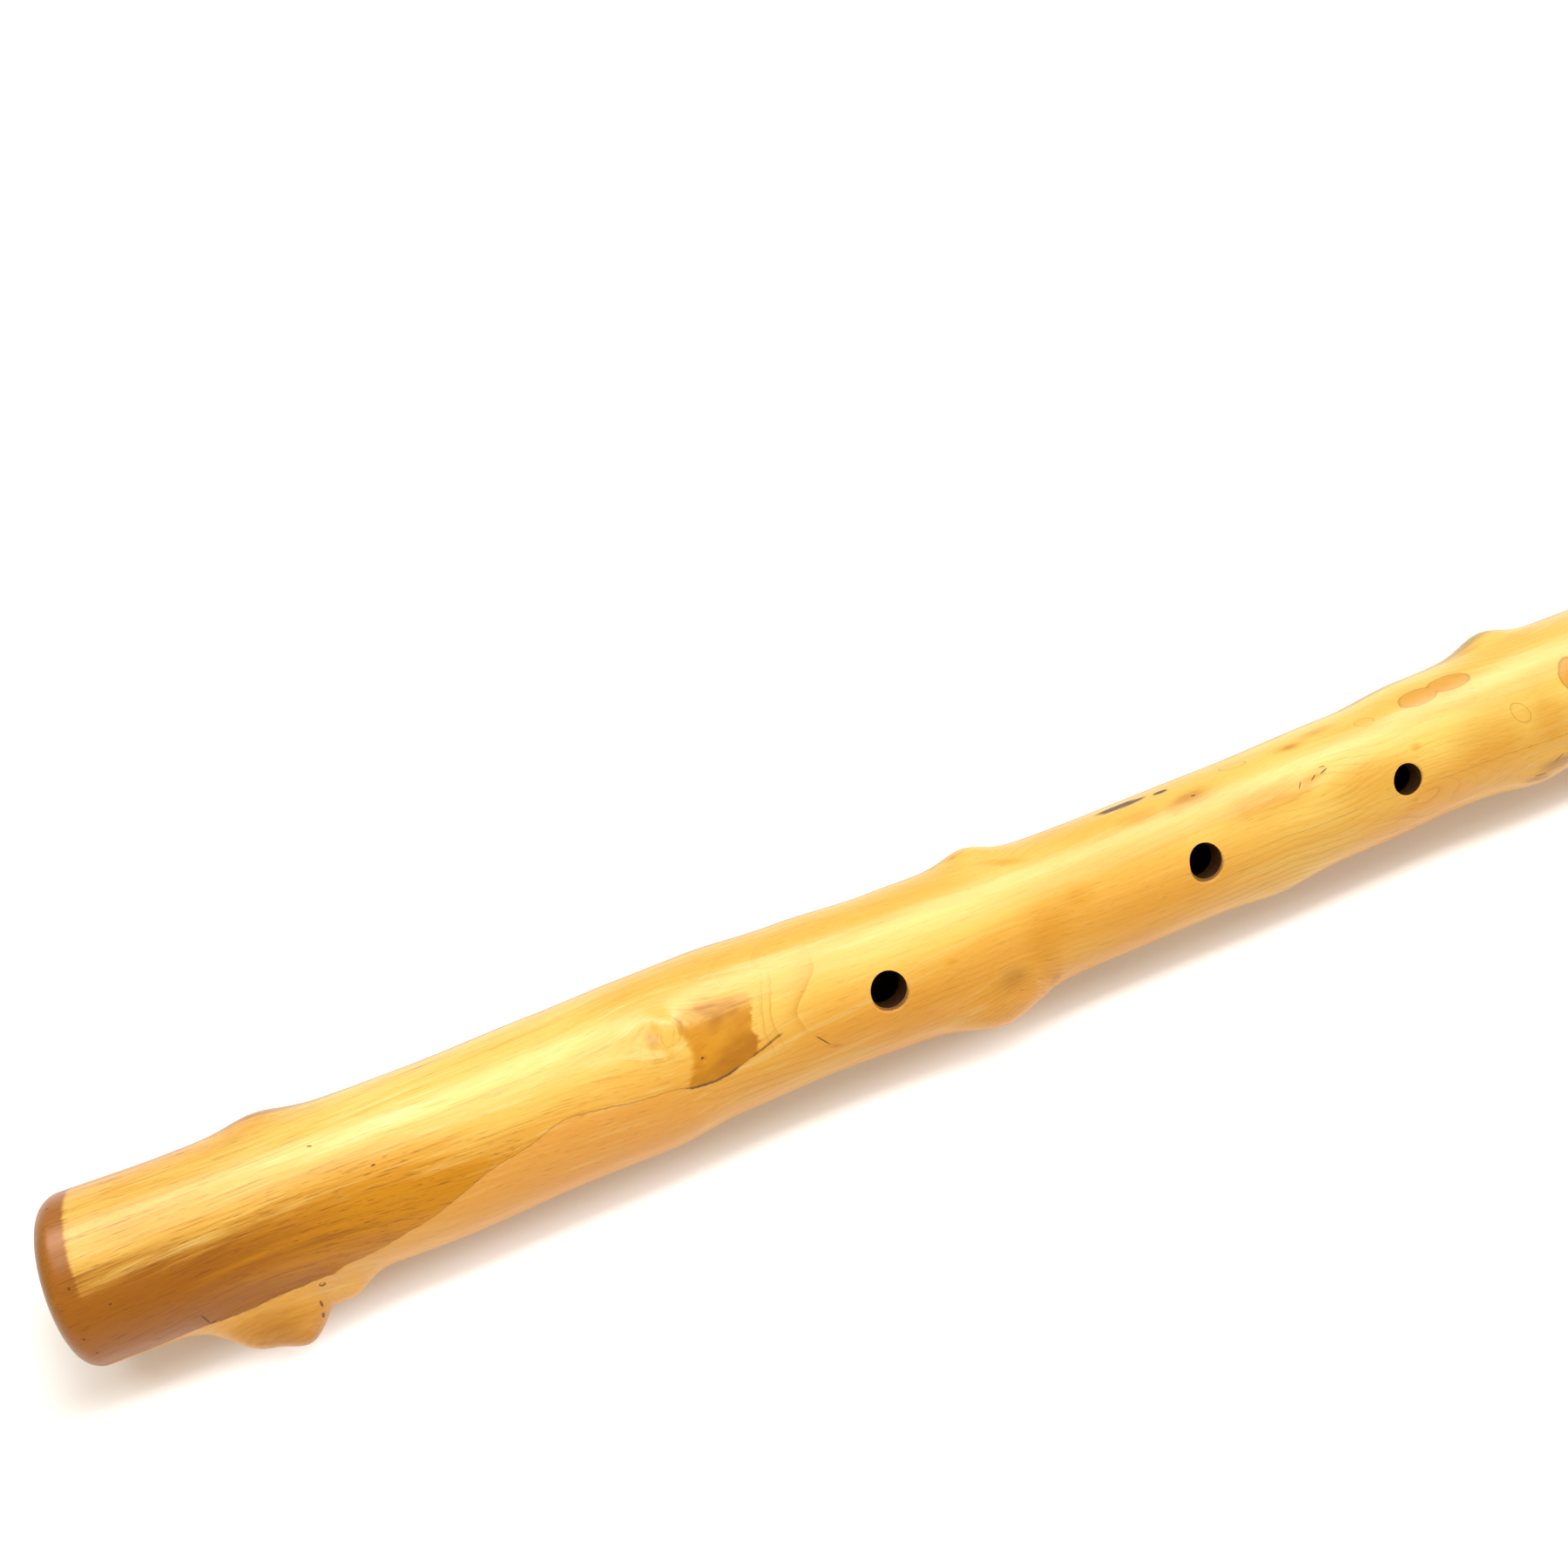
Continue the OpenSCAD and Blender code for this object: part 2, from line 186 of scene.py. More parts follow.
def facing(side: float, x: float = 0.0) -> Matrix:
    """Turns +Z to an angle round the bore, and moves it along the pipe (mm)."""
    return Matrix.Translation((x * MM, 0, 0)) @ Matrix.Rotation(math.radians(side - 90), 4, "X")


# ---------------------------------------------------------------- the branch's shape

@dataclass(frozen=True)
class Knot:
    """A swelling, or with a negative height a hollow, of the branch."""

    place: float
    side: float
    height: float
    half_length: float
    half_width: float

    def rise(self, x: Points, side: Points) -> Points:
        """Height that the knot adds at each distance (mm) and angle (degrees)."""
        return self.height * np.exp(-((x - self.place) / self.half_length) ** 2
                                    - (turn(side, self.side) / self.half_width) ** 2)


@dataclass(frozen=True)
class Branch:
    """The outside of a branch that was barked, straightened and smoothed into a pipe.

    The numbers are those of the part's source; the trims are the small shapes that only
    the finished surface shows.
    """

    length: float
    plain_r: float
    start: float = 0.0
    middle: tuple[float, float] = (0.0, 0.0)
    stations: tuple[tuple[float, float, float], ...] = ()
    knots: tuple[Knot, ...] = ()
    trims: tuple[Knot, ...] = ()
    seats: tuple[tuple[float, float], ...] = ()
    seat_run: float = 25.0
    bow_side: float = 200.0
    low_rim: float = 6.44
    high_rim: float = 3.0

    def natural(self, x: Points) -> Points:
        """How much of the natural shape is left.

        Args:
            x: distances from the branch's lower end (mm).

        Returns:
            0 on the seat of a strap or a block, and 1 away from all of them.
        """
        away = np.ones_like(x)
        for middle, half in self.seats:
            away = np.minimum(away, (np.abs(x - middle) - half) / self.seat_run)
        return ease(np.maximum(away, 0))

    def station(self, x: Points, column: int) -> Points:
        """Reads one column of the stations, with an eased run from each to the next.

        Args:
            x: distances from the branch's lower end (mm).
            column: 1 for the radius and 2 for the bow.

        Returns:
            The column's value at each distance (mm).
        """
        table = np.array(self.stations)
        i = np.clip(np.searchsorted(table[:, 0], x, "right") - 1, 0, len(table) - 1)
        j = np.minimum(i + 1, len(table) - 1)
        gap = np.where(j > i, table[j, 0] - table[i, 0], 1)
        t = ease(np.clip((x - table[i, 0]) / gap, 0, 1))
        return table[i, column] + (table[j, column] - table[i, column]) * t

    @staticmethod
    def rim_drop(d: Points, r: float) -> Points:
        """How much a rounded rim of radius r takes off at the distance d from the end."""
        inside = np.clip(r - d, 0, r)
        return r - np.sqrt(r * r - inside * inside)

    def radius(self, x: Points, side: Points) -> Points:
        """Radius of the wood round its own middle.

        Args:
            x: distances from the branch's lower end (mm).
            side: angles round the bore (degrees).

        Returns:
            The radius at each place (mm).
        """
        wild = sum(k.rise(x, side) for k in self.knots)
        if self.stations:
            wild = wild + self.station(x, 1) - self.plain_r
        fine = sum((k.rise(x, side) for k in self.trims), np.zeros_like(x))
        return (self.plain_r + self.natural(x) * (wild + fine)
                - self.rim_drop(x, self.low_rim) - self.rim_drop(self.length - x, self.high_rim))

    def surface(self, x: Points, side: Points) -> Points:
        """Points of the surface in metres.

        Args:
            x: distances from the branch's lower end (mm).
            side: angles round the bore (degrees).

        Returns:
            Rows of x, y, z.
        """
        r = self.radius(x, side)
        bow = self.natural(x) * self.station(x, 2) if self.stations else 0 * x
        a, b = np.radians(side), math.radians(self.bow_side)
        return MM * np.column_stack((
            self.start + x,
            self.middle[0] + r * np.cos(a) + bow * math.cos(b),
            self.middle[1] + r * np.sin(a) + bow * math.sin(b)))

    def unrolled(self, points: Points) -> tuple[Points, Points, Points]:
        """Finds where points lie along and round the branch.

        Args:
            points: rows of x, y, z in metres.

        Returns:
            Distances along it (mm), angles (degrees) and distances from its middle (mm).
        """
        y = points[:, 1] / MM - self.middle[0]
        z = points[:, 2] / MM - self.middle[1]
        return points[:, 0] / MM - self.start, np.degrees(np.arctan2(z, y)), np.hypot(y, z)


def rim_rings(r: float, count: int) -> list[float]:
    """Distances at which a rounded rim of radius r gets its rings."""
    return [r * (1 - math.cos(math.pi / 2 * i / count)) for i in range(count)]


def spread(low: float, high: float, gap: float) -> list[float]:
    """Evenly spaced distances from low to high, both ends included."""
    count = max(1, round((high - low) / gap))
    return [low + (high - low) * i / count for i in range(count + 1)]


# ---------------------------------------------------------------- ways of making a mesh

@dataclass(frozen=True)
class Finer:
    """A place on a rolled sheet that gets a closer mesh."""

    place: float
    side: float
    half_length: float
    half_width: float
    times: int = 2


def rolled(name: str, rings: Sequence[float], sides: int,
           shape: Callable[[Points, Points], Points],
           finer: Sequence[Finer] = ()) -> bpy.types.Object:
    """Makes a closed pipe from a flat grid that is rolled up.

    Args:
        name: the piece's name.
        rings: distances of the rings along the pipe (mm).
        sides: number of faces round it.
        shape: gives the points (m) at distances (mm) and angles (degrees).
        finer: places that get a closer mesh before the sheet is rolled.

    Returns:
        The new piece.
    """
    deselect()
    bpy.ops.mesh.primitive_grid_add(x_subdivisions=len(rings) - 1, y_subdivisions=sides, size=1)
    piece = bpy.context.object
    piece.name = piece.data.name = name
    table = np.array(rings)

    def place(flat: Points) -> tuple[Points, Points]:
        """Places points of the flat grid on the pipe.

        Args:
            flat: rows of x, y, z from -0.5 to 0.5.

        Returns:
            Distances (mm) and angles (degrees).
        """
        u = (flat[:, 0] + 0.5) * (len(table) - 1)
        return (np.interp(u, np.arange(len(table)), table),
                SEAM_SIDE + 360 * (flat[:, 1] + 0.5))

    for spot in finer:
        for _ in range(spot.times):
            mesh = piece.data
            centres = np.empty(len(mesh.polygons) * 3)
            mesh.polygons.foreach_get("center", centres)
            x, side = place(centres.reshape(-1, 3))
            chosen = ((np.abs(x - spot.place) < spot.half_length)
                      & (np.abs(turn(side, spot.side)) < spot.half_width))
            mesh.vertices.foreach_set("select", np.zeros(len(mesh.vertices), bool))
            mesh.edges.foreach_set("select", np.zeros(len(mesh.edges), bool))
            mesh.polygons.foreach_set("select", chosen)
            bpy.ops.object.mode_set(mode="EDIT")
            bpy.context.tool_settings.mesh_select_mode = (False, False, True)
            bpy.ops.mesh.subdivide(number_cuts=1)
            bpy.ops.object.mode_set(mode="OBJECT")
    x, side = place(coordinates(piece))
    move_to(piece, shape(x, side))
    bpy.ops.object.mode_set(mode="EDIT")
    bpy.context.tool_settings.mesh_select_mode = (True, False, False)
    bpy.ops.mesh.select_all(action="SELECT")
    bpy.ops.mesh.remove_doubles(threshold=1e-6)
    bpy.ops.mesh.fill_holes(sides=0)
    bpy.ops.mesh.select_all(action="SELECT")
    bpy.ops.mesh.normals_make_consistent(inside=False)
    bpy.ops.object.mode_set(mode="OBJECT")
    return piece


def cut(piece: bpy.types.Object, cutter: bpy.types.Object) -> None:
    """Cuts one solid out of a piece and removes the cutter.

    Args:
        piece: the piece that loses wood.
        cutter: the solid that is taken out of it.
    """
    pick(piece)
    change = piece.modifiers.new("cut", "BOOLEAN")
    change.operation = "DIFFERENCE"
    change.solver = "MANIFOLD"
    change.object = cutter
    bpy.ops.object.modifier_apply(modifier=change.name)
    bpy.data.objects.remove(cutter)


def rod(where: Matrix, radius: float, low: float, high: float,
        sides: int = 96) -> bpy.types.Object:
    """Makes a round cutter.

    Args:
        where: frame whose +Z is the cutter's axis.
        radius: its radius (mm).
        low: height of its lower end (mm).
        high: height of its upper end (mm).
        sides: number of faces round it.

    Returns:
        The new cutter.
    """
    deselect()
    bpy.ops.mesh.primitive_cylinder_add(vertices=sides, radius=radius * MM,
                                        depth=(high - low) * MM,
                                        location=(0, 0, (high + low) / 2 * MM))
    piece = bpy.context.object
    piece.data.transform(where @ piece.matrix_world)
    piece.matrix_world = Matrix.Identity(4)
    return piece


def prism(where: Matrix, outline: Sequence[tuple[float, float]],
          width: float) -> bpy.types.Object:
    """Makes a cutter with a four-sided outline.

    Args:
        where: the frame that it stands in.
        outline: its corners in X and Z of that frame, from the lower left one round (mm).
        width: its width along Y (mm).

    Returns:
        The new cutter.
    """
    deselect()
    bpy.ops.mesh.primitive_cube_add(size=1)
    piece = bpy.context.object
    corners = dict(zip(((-1, -1), (1, -1), (1, 1), (-1, 1)), outline))
    points = []
    for side_x, side_y, side_z in np.sign(coordinates(piece)):
        x, z = corners[side_x, side_z]
        points.append((x, side_y * width / 2, z))
    move_to(piece, np.array(points) * MM)
    piece.data.transform(where)
    return piece


def turned(name: str, where: Matrix, outline: Sequence[tuple[float, float]],
           hollow: bool = False, sides: int = 96) -> bpy.types.Object:
    """Turns a piece as on a lathe: a ring is drawn out step by step along its outline.

    Args:
        name: the piece's name.
        where: frame whose +Z is the piece's axis.
        outline: heights and radii of the rings (mm).
        hollow: whether the last ring joins the first, as in a tube.
        sides: number of faces round it.

    Returns:
        The new piece.
    """
    deselect()
    (height, radius), rest = outline[0], outline[1:]
    bpy.ops.mesh.primitive_circle_add(vertices=sides, radius=radius * MM,
                                      location=(0, 0, 0), fill_type="NOTHING")
    piece = bpy.context.object
    piece.name = piece.data.name = name
    piece.data.transform(Matrix.Translation((0, 0, height * MM)))
    bpy.ops.object.mode_set(mode="EDIT")
    bpy.context.tool_settings.mesh_select_mode = (False, True, False)
    bpy.ops.mesh.select_all(action="SELECT")
    for to_height, to_radius in rest:
        bpy.ops.mesh.extrude_region_move(
            TRANSFORM_OT_translate={"value": (0, 0, (to_height - height) * MM)})
        k = to_radius / radius
        bpy.ops.transform.resize(value=(k, k, 1), center_override=(0, 0, to_height * MM))
        height, radius = to_height, to_radius
    if hollow:
        bpy.ops.mesh.select_all(action="DESELECT")
        bpy.ops.mesh.select_non_manifold()
        bpy.ops.mesh.bridge_edge_loops()
    else:
        bpy.ops.mesh.select_all(action="SELECT")
        bpy.ops.mesh.fill_holes(sides=0)
    bpy.ops.mesh.select_all(action="SELECT")
    bpy.ops.mesh.normals_make_consistent(inside=False)
    bpy.ops.object.mode_set(mode="OBJECT")
    piece.data.transform(where)
    return piece


def smooth(piece: bpy.types.Object, angle: float = 35.0) -> None:
    """Shades a piece smooth up to an angle between its faces."""
    pick(piece)
    bpy.ops.object.shade_smooth_by_angle(angle=math.radians(angle))


def put_attribute(piece: bpy.types.Object, name: str, kind: str, values: Points) -> None:
    """Stores one value or vector for each vertex.

    Args:
        piece: the piece that gets the attribute.
        name: the attribute's name.
        kind: FLOAT or FLOAT_VECTOR.
        values: the values in the vertices' order.
    """
    attribute = piece.data.attributes.new(name, kind, "POINT")
    attribute.data.foreach_set("value" if kind == "FLOAT" else "vector",
                               values.astype(np.float32).ravel())


def hand_over(piece: bpy.types.Object, body: str, slot: str, material: bpy.types.Material,
              *nodes: str) -> None:
    """Dresses a finished piece, hangs it on its body and reports it.

    Args:
        piece: the finished piece.
        body: the CAD body that it rides on.
        slot: name of the piece's material slot; not used.
        material: its finish.
        nodes: CAD nodes that it stands for.
    """
    piece.data.materials.clear()
    piece.data.materials.append(material)
    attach(piece, body)
    if nodes:
        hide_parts(*nodes)
    LOG.info("%s on %s: %d faces", piece.name, body, len(piece.data.polygons))


# ---------------------------------------------------------------- finishes

class Stain(Enum):
    """What a mark on the branch wood is."""

    SOFT = "resin-coloured patch with a soft edge"
    # Darker heart of a patch; a few such marks are painted shade beside knots, in a hollow and under
    # the stub.
    DEEP = "darker heart of a patch"
    RINGED = "patch with a thin darker edge line"
    OUTLINE = "thin edge line alone"
    BARK = "remnant of bark or a dark crack"
    PIT = "small brown pit, ring or scratch"
    SOOT = "grey brown smear"
    HEART = "pale heart of a small knot"


# The kinds that are large and soft enough to be stored on the mesh.
STORED = (Stain.SOFT, Stain.DEEP, Stain.SOOT)


@dataclass(frozen=True)
class Mark:
    """An oval mark at a place on the pipe: half length, half width (mm) and its turn."""

    kind: Stain
    place: float
    side: float
    half_length: float
    half_width: float
    turned: float = 0.0

    def distance(self, x: Points, side: Points) -> Points:
        """How far places on the skin are from the mark's middle.

        Args:
            x: distances from the branch's lower end (mm).
            side: angles round the bore (degrees).

        Returns:
            The distances, of which 1 is the mark's edge.
        """
        a = math.radians(self.turned)
        ds, dt = x - self.place, UNROLL_R * np.radians(turn(side, self.side))
        return np.hypot((ds * math.cos(a) + dt * math.sin(a)) / self.half_length,
                        (dt * math.cos(a) - ds * math.sin(a)) / self.half_width)


@dataclass(frozen=True)
class Finish:
    """What every finish has: its name, and how smooth and how glossy the surface is."""

    name: str
    roughness: float = 0.45
    coat: float = 0.0
    coat_roughness: float = 0.2
    ior: float = 1.5
    metallic: float = 0.0
    specular: float = 0.5

    def start(self) -> tuple[bpy.types.Material, bpy.types.NodeTree, bpy.types.Node]:
        """Makes the material with its shader node.

        Returns:
            The material, its tree and its shader.
        """
        material = bpy.data.materials.new(self.name)
        material.use_nodes = True
        tree = material.node_tree
        shader = tree.nodes["Principled BSDF"]
        shader.inputs["Metallic"].default_value = self.metallic
        shader.inputs["Roughness"].default_value = self.roughness
        shader.inputs["IOR"].default_value = self.ior
        shader.inputs["Specular IOR Level"].default_value = self.specular
        shader.inputs["Coat Weight"].default_value = self.coat
        shader.inputs["Coat Roughness"].default_value = self.coat_roughness
        return material, tree, shader


@dataclass(frozen=True)
class BranchWood(Finish):
    """Barked and smoothed branch of a light hardwood under a satin varnish.

    The outer sapwood shows pale yellow to honey with fine fibres, thin growth-ring lines
    that flow round the knots, resin-coloured patches, and a brown foot that took up more
    oil. Fibres are about 1 mm wide and 40 mm long, growth rings 1 mm apart.
    """

    pale: str = "#FBD466"
    honey: str = "#FABE4C"
    deep: str = "#E59A32"
    bright: str = "#FFEFA4"
    fibre: str = "#B26A18"
    pore: str = "#8A4E12"
    tan: str = "#F2A94C"
    amber: str = "#A66004"
    amber_light: str = "#D98E0C"
    amber_pore: str = "#6A3402"
    stain: str = "#DE9416"
    stain_deep_and_shade: str = "#B06A08"
    patch: str = "#DF9C2C"
    arc: str = "#D0861A"
    edge_line: str = "#A4640F"
    layer_line: str = "#8A4E08"
    layer_line_dark: str = "#3A1C06"
    bark: str = "#2C1C12"
    bark_light: str = "#53321E"
    pit: str = "#6B380E"
    heart: str = "#EDBE6C"
    soot: str = "#8E6440"
    # Colour of the painted shade along the far side, and of the darker band at the foot's end.
    rim: str = "#8F6010"
    # Bore colours: oiled wood, painted nearly black as shade inside the bore and the holes.
    inside: str = "#2A1509"
    inside_shade_light: str = "#4A260F"
    marks: tuple[Mark, ...] = ()
    line: tuple[tuple[float, float], ...] = ()
    line_strength: tuple[tuple[float, float], ...] = ()

    def build(self) -> bpy.types.Material:
        """Makes the wood's material.

        Returns:
            The material, which reads the attributes that Grain stores.
        """
        material, tree, shader = self.start()
        add = partial(put, tree)
        grain = add("Attribute", attribute_name="grain", out=1)
        rings = add("Attribute", attribute_name="rings", out=2)
        zones, patches, arcs, tone = (
            list(add("SeparateXYZ", add("Attribute", attribute_name=name, out=1)).node.outputs)
            for name in ("zones", "patches", "arcs", "tone"))
        amber_zone, figure, depth = zones
        coarse, slab, painted_side_shade = tone
        flat = add("UVMap", uv_map="unrolled")

        # Noises along the grain: cycles per metre, detail, roughness and warp.
        fibre, streak, cloud, fleck, wobble, tiny, gaps = (
            add("TexNoise", {"Vector": add("Mapping", {"Vector": grain, "Scale": scale}),
                             "Scale": 1.0, "Detail": detail, "Roughness": rough,
                             "Distortion": warp})
            for scale, detail, rough, warp in (
                ((55, 1400, 1400), 3.0, 0.65, 0.0), ((16, 330, 330), 3.0, 0.6, 0.0),
                ((9, 30, 30), 2.0, 0.5, 0.3), ((190, 2100, 2100), 1.0, 0.5, 0.0),
                ((70, 160, 160), 2.0, 0.5, 0.0), ((420, 700, 700), 2.0, 0.5, 0.0),
                ((22, 60, 60), 2.0, 0.5, 0.0)))

        # Growth rings: each one darkens slowly and ends in a thin line.
        ring_at = add("Math", wobble, 0.6, add("Math", cloud, 1.2, rings, **LINE), **LINE)
        saw = add("Math", ring_at, operation="FRACT")
        strong = add("Math", figure, add("MapRange", gaps, 0.44, 0.64, 0.1, 1.0, **SOFTLY), **TIMES)
        ring = add("Math", add("Math", saw, 9.0, operation="POWER"), strong, **TIMES)
        slow = add("Math", add("Math", saw, 3.0, operation="POWER"), figure, **TIMES)
        arc_at = add("Math", add("Math", wobble, 0.35, arcs[0], **LINE), operation="FRACT")
        arc = add("Math", add("Math", arc_at, 3.5, operation="POWER"), arcs[1], **TIMES)

        # Each layer is a mask and the colour that it lays over the ones before it.
        # Painted shade, partly the wood's own deeper tone: the lower side, from 105 to 290 degrees
        # round the bore and turned from the lamp, gets the deeper colour.
        low = add("Math", painted_side_shade, add("MapRange", cloud, 0.3, 0.7, 0.35, 0.8), **TIMES)
        layers = [(add("MapRange", cloud, 0.36, 0.66, **SOFTLY), self.honey), (low, self.deep)]
        for noise, start, end, most, over in (
                (streak, 0.52, 0.76, 0.5, self.deep), (streak, 0.46, 0.28, 0.5, self.bright),
                (fibre, 0.54, 0.76, 0.45, self.fibre), (fibre, 0.45, 0.28, 0.35, self.bright)):
            layers.append((add("Math", add("MapRange", noise, start, end, 0.0, most, **SOFTLY),
                               coarse, **TIMES), over))
        for part, much, over in ((slow, 0.18, self.deep), (ring, 0.42, self.edge_line),
                                 (arc, 0.55, self.arc)):
            layers.append((add("Math", part, much, **TIMES), over))

        # The amber foot: short strokes along the fibres make its edge.
        ragged = amber_zone
        for noise, much in ((streak, 0.60), (fibre, 0.50), (cloud, 0.35)):
            ragged = add("Math", ragged, add("Math", noise, much, -much / 2, **LINE), **PLUS)
        brown = add("Math", add("MapRange", ragged, 0.10, 0.92),
                    add("MapRange", amber_zone, 0.0, 0.12, **SOFTLY), **TIMES)

        # The boundary line between two growth layers, with the layer below it paler.
        across = add("SeparateXYZ", flat, out=1)
        along = across.node.outputs[0]
        below: Any = 0.0
        line: Any = 0.0
        if self.line:
            reach, width = 0.26, 0.16
            share = add("Math", along, reach, operation="DIVIDE")
            course = self.curve(tree, share, [(x * MM / reach, unroll(side) * MM / width)
                                              for x, side in self.line])
            power = self.curve(tree, share, [(x * MM / reach, y) for x, y in self.line_strength])
            away = add("Math", course, -width, across, **LINE)
            for noise, much in ((wobble, 0.0012), (tiny, 0.0008)):
                away = add("Math", away, add("Math", noise, much, -much / 2, **LINE), **PLUS)
            below = add("MapRange", away, -0.0003, 0.0003, **SOFTLY)
            thick = add("Math", add("Math", power, power, **TIMES), 0.0006, 0.0002, **LINE)
            line = add("Math", 1.0, add("Math", add("Math", away, operation="ABSOLUTE"), thick,
                                        operation="DIVIDE", use_clamp=True), **LESS)
            line = add("Math", add("Math", line, power, **TIMES),
                       add("MapRange", depth, 0.5, 0.2, **SOFTLY), **TIMES)
            lower = add("Math", below, add("MapRange", along, 0.235, 0.17, **SOFTLY), **TIMES)
            lower = add("Math", lower, add("MapRange", across, 0.125, 0.105, **SOFTLY), **TIMES)
            layers.append((add("Math", lower, 0.6, **TIMES), self.tan))
            brown = add("Math", brown, add("Math", 1.0, below, **LESS), **TIMES)
        glow = add("Math", cloud, add("Math", streak, 1.1, **TIMES), **PLUS)
        gold = add("Mix", {0: add("MapRange", add("Math", glow, 0.10, along, **LINE), 0.145, 0.225,
                                  **SOFTLY),
                           6: linear(self.amber), 7: linear(self.amber_light)}, **COLOURS)
        layers += [
            (add("Math", brown, 0.85, **TIMES), self.amber_light),
            (add("MapRange", brown, 0.35, 0.95, 0.0, 0.94, **SOFTLY), gold),
            (add("Math", brown, add("MapRange", fibre, 0.52, 0.74, 0.0, 0.5, **SOFTLY), **TIMES),
             self.amber_pore)]
        # Painted shade: the far side, below 47 and above 300 degrees round the bore, is darkened with
        # the rim colour; the last 6.5 mm at the foot's end get the same darkening.
        painted_shade_and_foot_end = add("MapRange", add("Math", arcs[2], add("Math", arcs[2], streak, **PLUS), **TIMES),
                   0.1, 1.3, 0.0, 0.6, **SOFTLY)
        layers.append((painted_shade_and_foot_end, self.rim))

        # The large stain right of the raised knot: dense, with a crisp right edge.
        mottle = add("Math", wobble, 0.5, add("Math", cloud, 0.7, **TIMES), **LINE)
        solid = add("Math", slab, add("Math", fibre, 0.6, add("Math", mottle, 1.1, -0.96, **LINE),
                                      **LINE), **PLUS)
        solid = add("MapRange", solid, 0.22, 0.80, **SOFTLY)
        if self.line:
            solid = add("Math", solid, add("Math", 1.0, below, **LESS), **TIMES)
        layers += [(add("Math", solid, 0.9, **TIMES), self.stain),
                   (add("Math", solid, add("MapRange", mottle, 0.52, 0.72, 0.0, 0.7, **SOFTLY),
                        **TIMES), self.stain_deep_and_shade)]

        # Soft patches: how far a place is from the edge, in half widths, with a ragged edge. The
        # darker ones are partly painted shade beside knots, in a hollow and under the stub.
        for part, much, edges, most, over in (
                (patches[0], 1.0, (1.3, 0.15), 0.62, self.stain),
                (patches[1], 1.3, (1.3, 0.0), 0.66, self.stain_deep_and_shade),
                (patches[2], 1.2, (1.2, 0.3), 0.55, self.soot)):
            far = add("Math", part, add("Math", mottle, much, -0.6 * much, **LINE), **PLUS)
            mask = add("MapRange", far, *edges, 0.0, most, **SOFTLY)
            layers.append((add("Math", mask, add("MapRange", fibre, 0.35, 0.65, 0.7, 1.0, **SOFTLY),
                               **TIMES), over))

        # Small marks: the distance to the nearest of each kind, in half widths.
        found: dict[Stain, Any] = {}
        for mark in self.marks:
            if mark.kind in STORED:
                continue
            local = add("Mapping", {
                "Vector": flat, "Location": (mark.place * MM, unroll(mark.side) * MM, 0),
                "Rotation": (0, 0, math.radians(mark.turned)),
                "Scale": (mark.half_length * MM, mark.half_width * MM, 1)}, vector_type="TEXTURE")
            far = add("VectorMath", local, out=1, operation="LENGTH")
            if mark.kind in found:
                far = add("Math", found[mark.kind], far, 0.3, operation="SMOOTH_MIN")
            found[mark.kind] = far
        for kind, fill in ((Stain.RINGED, 0.85), (Stain.OUTLINE, 0.12)):
            if kind in found:
                far = add("Math", found[kind], add("Math", wobble, 0.35, -0.17, **LINE), **PLUS)
                inner = add("Math", add("MapRange", far, 1.05, 0.95, 0.0, fill, **SOFTLY),
                            add("MapRange", cloud, 0.3, 0.6, 0.55, 1.0, **SOFTLY), **TIMES)
                gap = add("Math", add("Math", far, 0.98, **LESS), operation="ABSOLUTE")
                rim = add("Math", gap, -6.0, 0.55, use_clamp=True, **LINE)
                layers += [(inner, self.patch), (rim, self.edge_line)]
        dark: Any = 0.0
        for kind, wild, most in ((Stain.BARK, 0.8, 0.92), (Stain.PIT, 0.4, 0.8)):
            if kind in found:
                far = add("Math", found[kind], add("Math", wobble, wild, -wild / 2, **LINE), **PLUS)
                far = add("Math", far, add("Math", fibre, wild, -wild / 2, **LINE), **PLUS)
                spot = add("MapRange", far, 1.1, 0.75, 0.0, most, **SOFTLY)
                dark = add("Math", dark, spot, operation="MAXIMUM")
                bark = add("Mix", {0: add("MapRange", tiny, 0.4, 0.6, **SOFTLY),
                                   6: linear(self.bark), 7: linear(self.bark_light)}, **COLOURS)
                layers.append((spot, bark if kind is Stain.BARK else self.pit))
        if Stain.HEART in found:
            layers.append((add("MapRange", found[Stain.HEART], 1.15, 0.75, **SOFTLY), self.heart))
        layers.append((add("Math", line, 0.9, **TIMES), add("Mix", {
            0: add("MapRange", line, 0.55, 0.9, **SOFTLY), 6: linear(self.layer_line),
            7: linear(self.layer_line_dark)}, **COLOURS)))

        # Pores: short dark dashes, thicker in the amber foot.
        pore = add("Math", add("MapRange", fleck, 0.63, 0.72, **SOFTLY),
                   add("MapRange", add("Math", brown, cloud, **PLUS), 0.5, 1.2, 0.15, 0.6,
                       **SOFTLY), **TIMES)
        layers.append((pore, self.pore))

        # Bores and hole walls: drilled, oiled wood, painted nearly black as shade inside the bore and
        # the holes.
        inner = add("MapRange", depth, 0.3, 1.2, 0.0, 0.97, **SOFTLY)
        layers.append((inner, add("Mix", {
            0: add("MapRange", fibre, 0.4, 0.65, **SOFTLY), 6: linear(self.inside),
            7: linear(self.inside_shade_light)}, **COLOURS)))

        colour: Any = linear(self.pale)
        for mask, over in layers:
            colour = add("Mix", {0: mask, 6: colour,
                                 7: linear(over) if isinstance(over, str) else over}, **COLOURS)
        tree.links.new(colour, shader.inputs["Base Color"])

        gloss = add("Math", fibre, 0.20, self.roughness - 0.10, **LINE)
        gloss = add("Math", dark, 0.25, gloss, **LINE)
        gloss = add("Math", inner, 0.25, gloss, use_clamp=True, **LINE)
        tree.links.new(gloss, shader.inputs["Roughness"])

